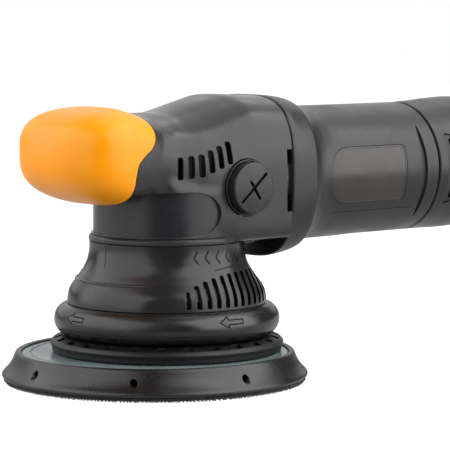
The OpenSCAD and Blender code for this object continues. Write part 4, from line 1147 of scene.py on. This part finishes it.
def sheet(name, corners, seen, looks):
    """Flat sheet of the stage; one that is not seen still shows in what the machine reflects."""
    mesh = bpy.data.meshes.new(name)
    mesh.from_pydata(corners, [], [(0, 1, 2, 3)])
    obj = placed(name, mesh)
    n = Nodes(name + "_paint")
    n.feed(n.shader, {"Roughness": n.ramp(n.noise(20), 0.85, 0.95), **looks})
    if seen:
        grain = n.mix(n.ramp(n.noise(400), 0, 1), (0.22, 0.22, 0.22), (0.25, 0.25, 0.25))
        n.feed(n.shader, {"Base Color": grain})
        obj.visible_glossy = obj.visible_diffuse = False
    else:
        obj.visible_camera = obj.visible_shadow = False
    mesh.materials.append(n.material)


def towards(turn, rise):
    """Direction from the machine for a turn about z and a rise above the floor, in degrees."""
    a, e = math.radians(turn), math.radians(rise)
    return Vector((math.sin(a) * math.cos(e), -math.cos(a) * math.cos(e), math.sin(e)))


def studio():
    """Pale floor and backdrop, soft lights, and the camera at the product shot's angle."""
    white = {"Specular IOR Level": 0.1, "Emission Color": (1, 1, 1, 1)}
    square = np.array([(-3, -3, 0), (3, -3, 0), (3, 3, 0), (-3, 3, 0)])
    sheet("floor", square.tolist(), True, {"Emission Strength": 0.95, **white})
    # What the machine sees of the floor is dimmer than what the camera sees
    looks = {"Base Color": (0.2, 0.2, 0.2, 1), "Emission Strength": 0.42, **white}
    sheet("bounce", (square + [0, 0, 0.0005]).tolist(), False, looks)
    # A black card on the floor between the machine and the camera keeps the front dark
    corners = [(x, y, 0.001) for x, y in ((-0.02, -0.28), (-0.24, -0.03), (-1.5, -1.2), (-0.5, -1.9))]
    sheet("card", corners, False, {"Base Color": (0.01, 0.01, 0.01, 1)})

    world = bpy.data.worlds.new("studio")
    bpy.context.scene.world = world
    world.use_nodes = True
    tree = world.node_tree
    back = tree.nodes["Background"]
    back.inputs["Color"].default_value = (1, 1, 1, 1)
    back.inputs["Strength"].default_value = 0.08
    bright = tree.nodes.new("ShaderNodeBackground")
    bright.inputs["Color"].default_value = (1, 1, 1, 1)
    bright.inputs["Strength"].default_value = 1.0
    path = tree.nodes.new("ShaderNodeLightPath")
    mix = tree.nodes.new("ShaderNodeMixShader")
    tree.links.new(path.outputs["Is Camera Ray"], mix.inputs[0])
    tree.links.new(back.outputs[0], mix.inputs[1])
    tree.links.new(bright.outputs[0], mix.inputs[2])
    tree.links.new(mix.outputs[0], tree.nodes["World Output"].inputs["Surface"])

    target = Vector((0.03, 0, 0.09))
    for name, turn, rise, dist, size, glow in (
        ("key", 28, 28, 1.3, (1.85, 1.9), 3.5),
        ("top", 100, 62, 1.2, (1.15, 1.15), 1.25),
        ("left", -112, 26, 1.1, (2.3, 1.2), 2.2),
        ("back", 150, 25, 1.5, (2.4, 1.2), 0.8),
    ):
        way = towards(turn, rise)
        data = bpy.data.lights.new(name, "AREA")
        data.shape, data.size, data.size_y = "RECTANGLE", *size
        data.energy = glow * math.pi * size[0] * size[1]
        lamp = placed(name, data)
        lamp.location = target + way * dist
        lamp.rotation_euler = way.to_track_quat("Z", "Y").to_euler()

    data = bpy.data.cameras.new("camera")
    data.lens, data.sensor_width = 200, 36
    data.clip_start, data.clip_end = 0.05, 50
    cam = placed("camera", data)
    way = towards(-40, 5.3)
    cam.location = Vector((0.0374, 0, 0.0734)) + way * 1.252
    cam.rotation_euler = way.to_track_quat("Z", "Y").to_euler()
    bpy.context.scene.camera = cam
    bpy.context.scene.view_settings.view_transform = "Standard"


dress_frame()
build_head()
build_plugs()
build_flange()
build_shroud()
build_bumper()
build_skirt()
build_plate()
build_motor()
build_labels()
build_handle()
build_grille()
build_controls()
studio()
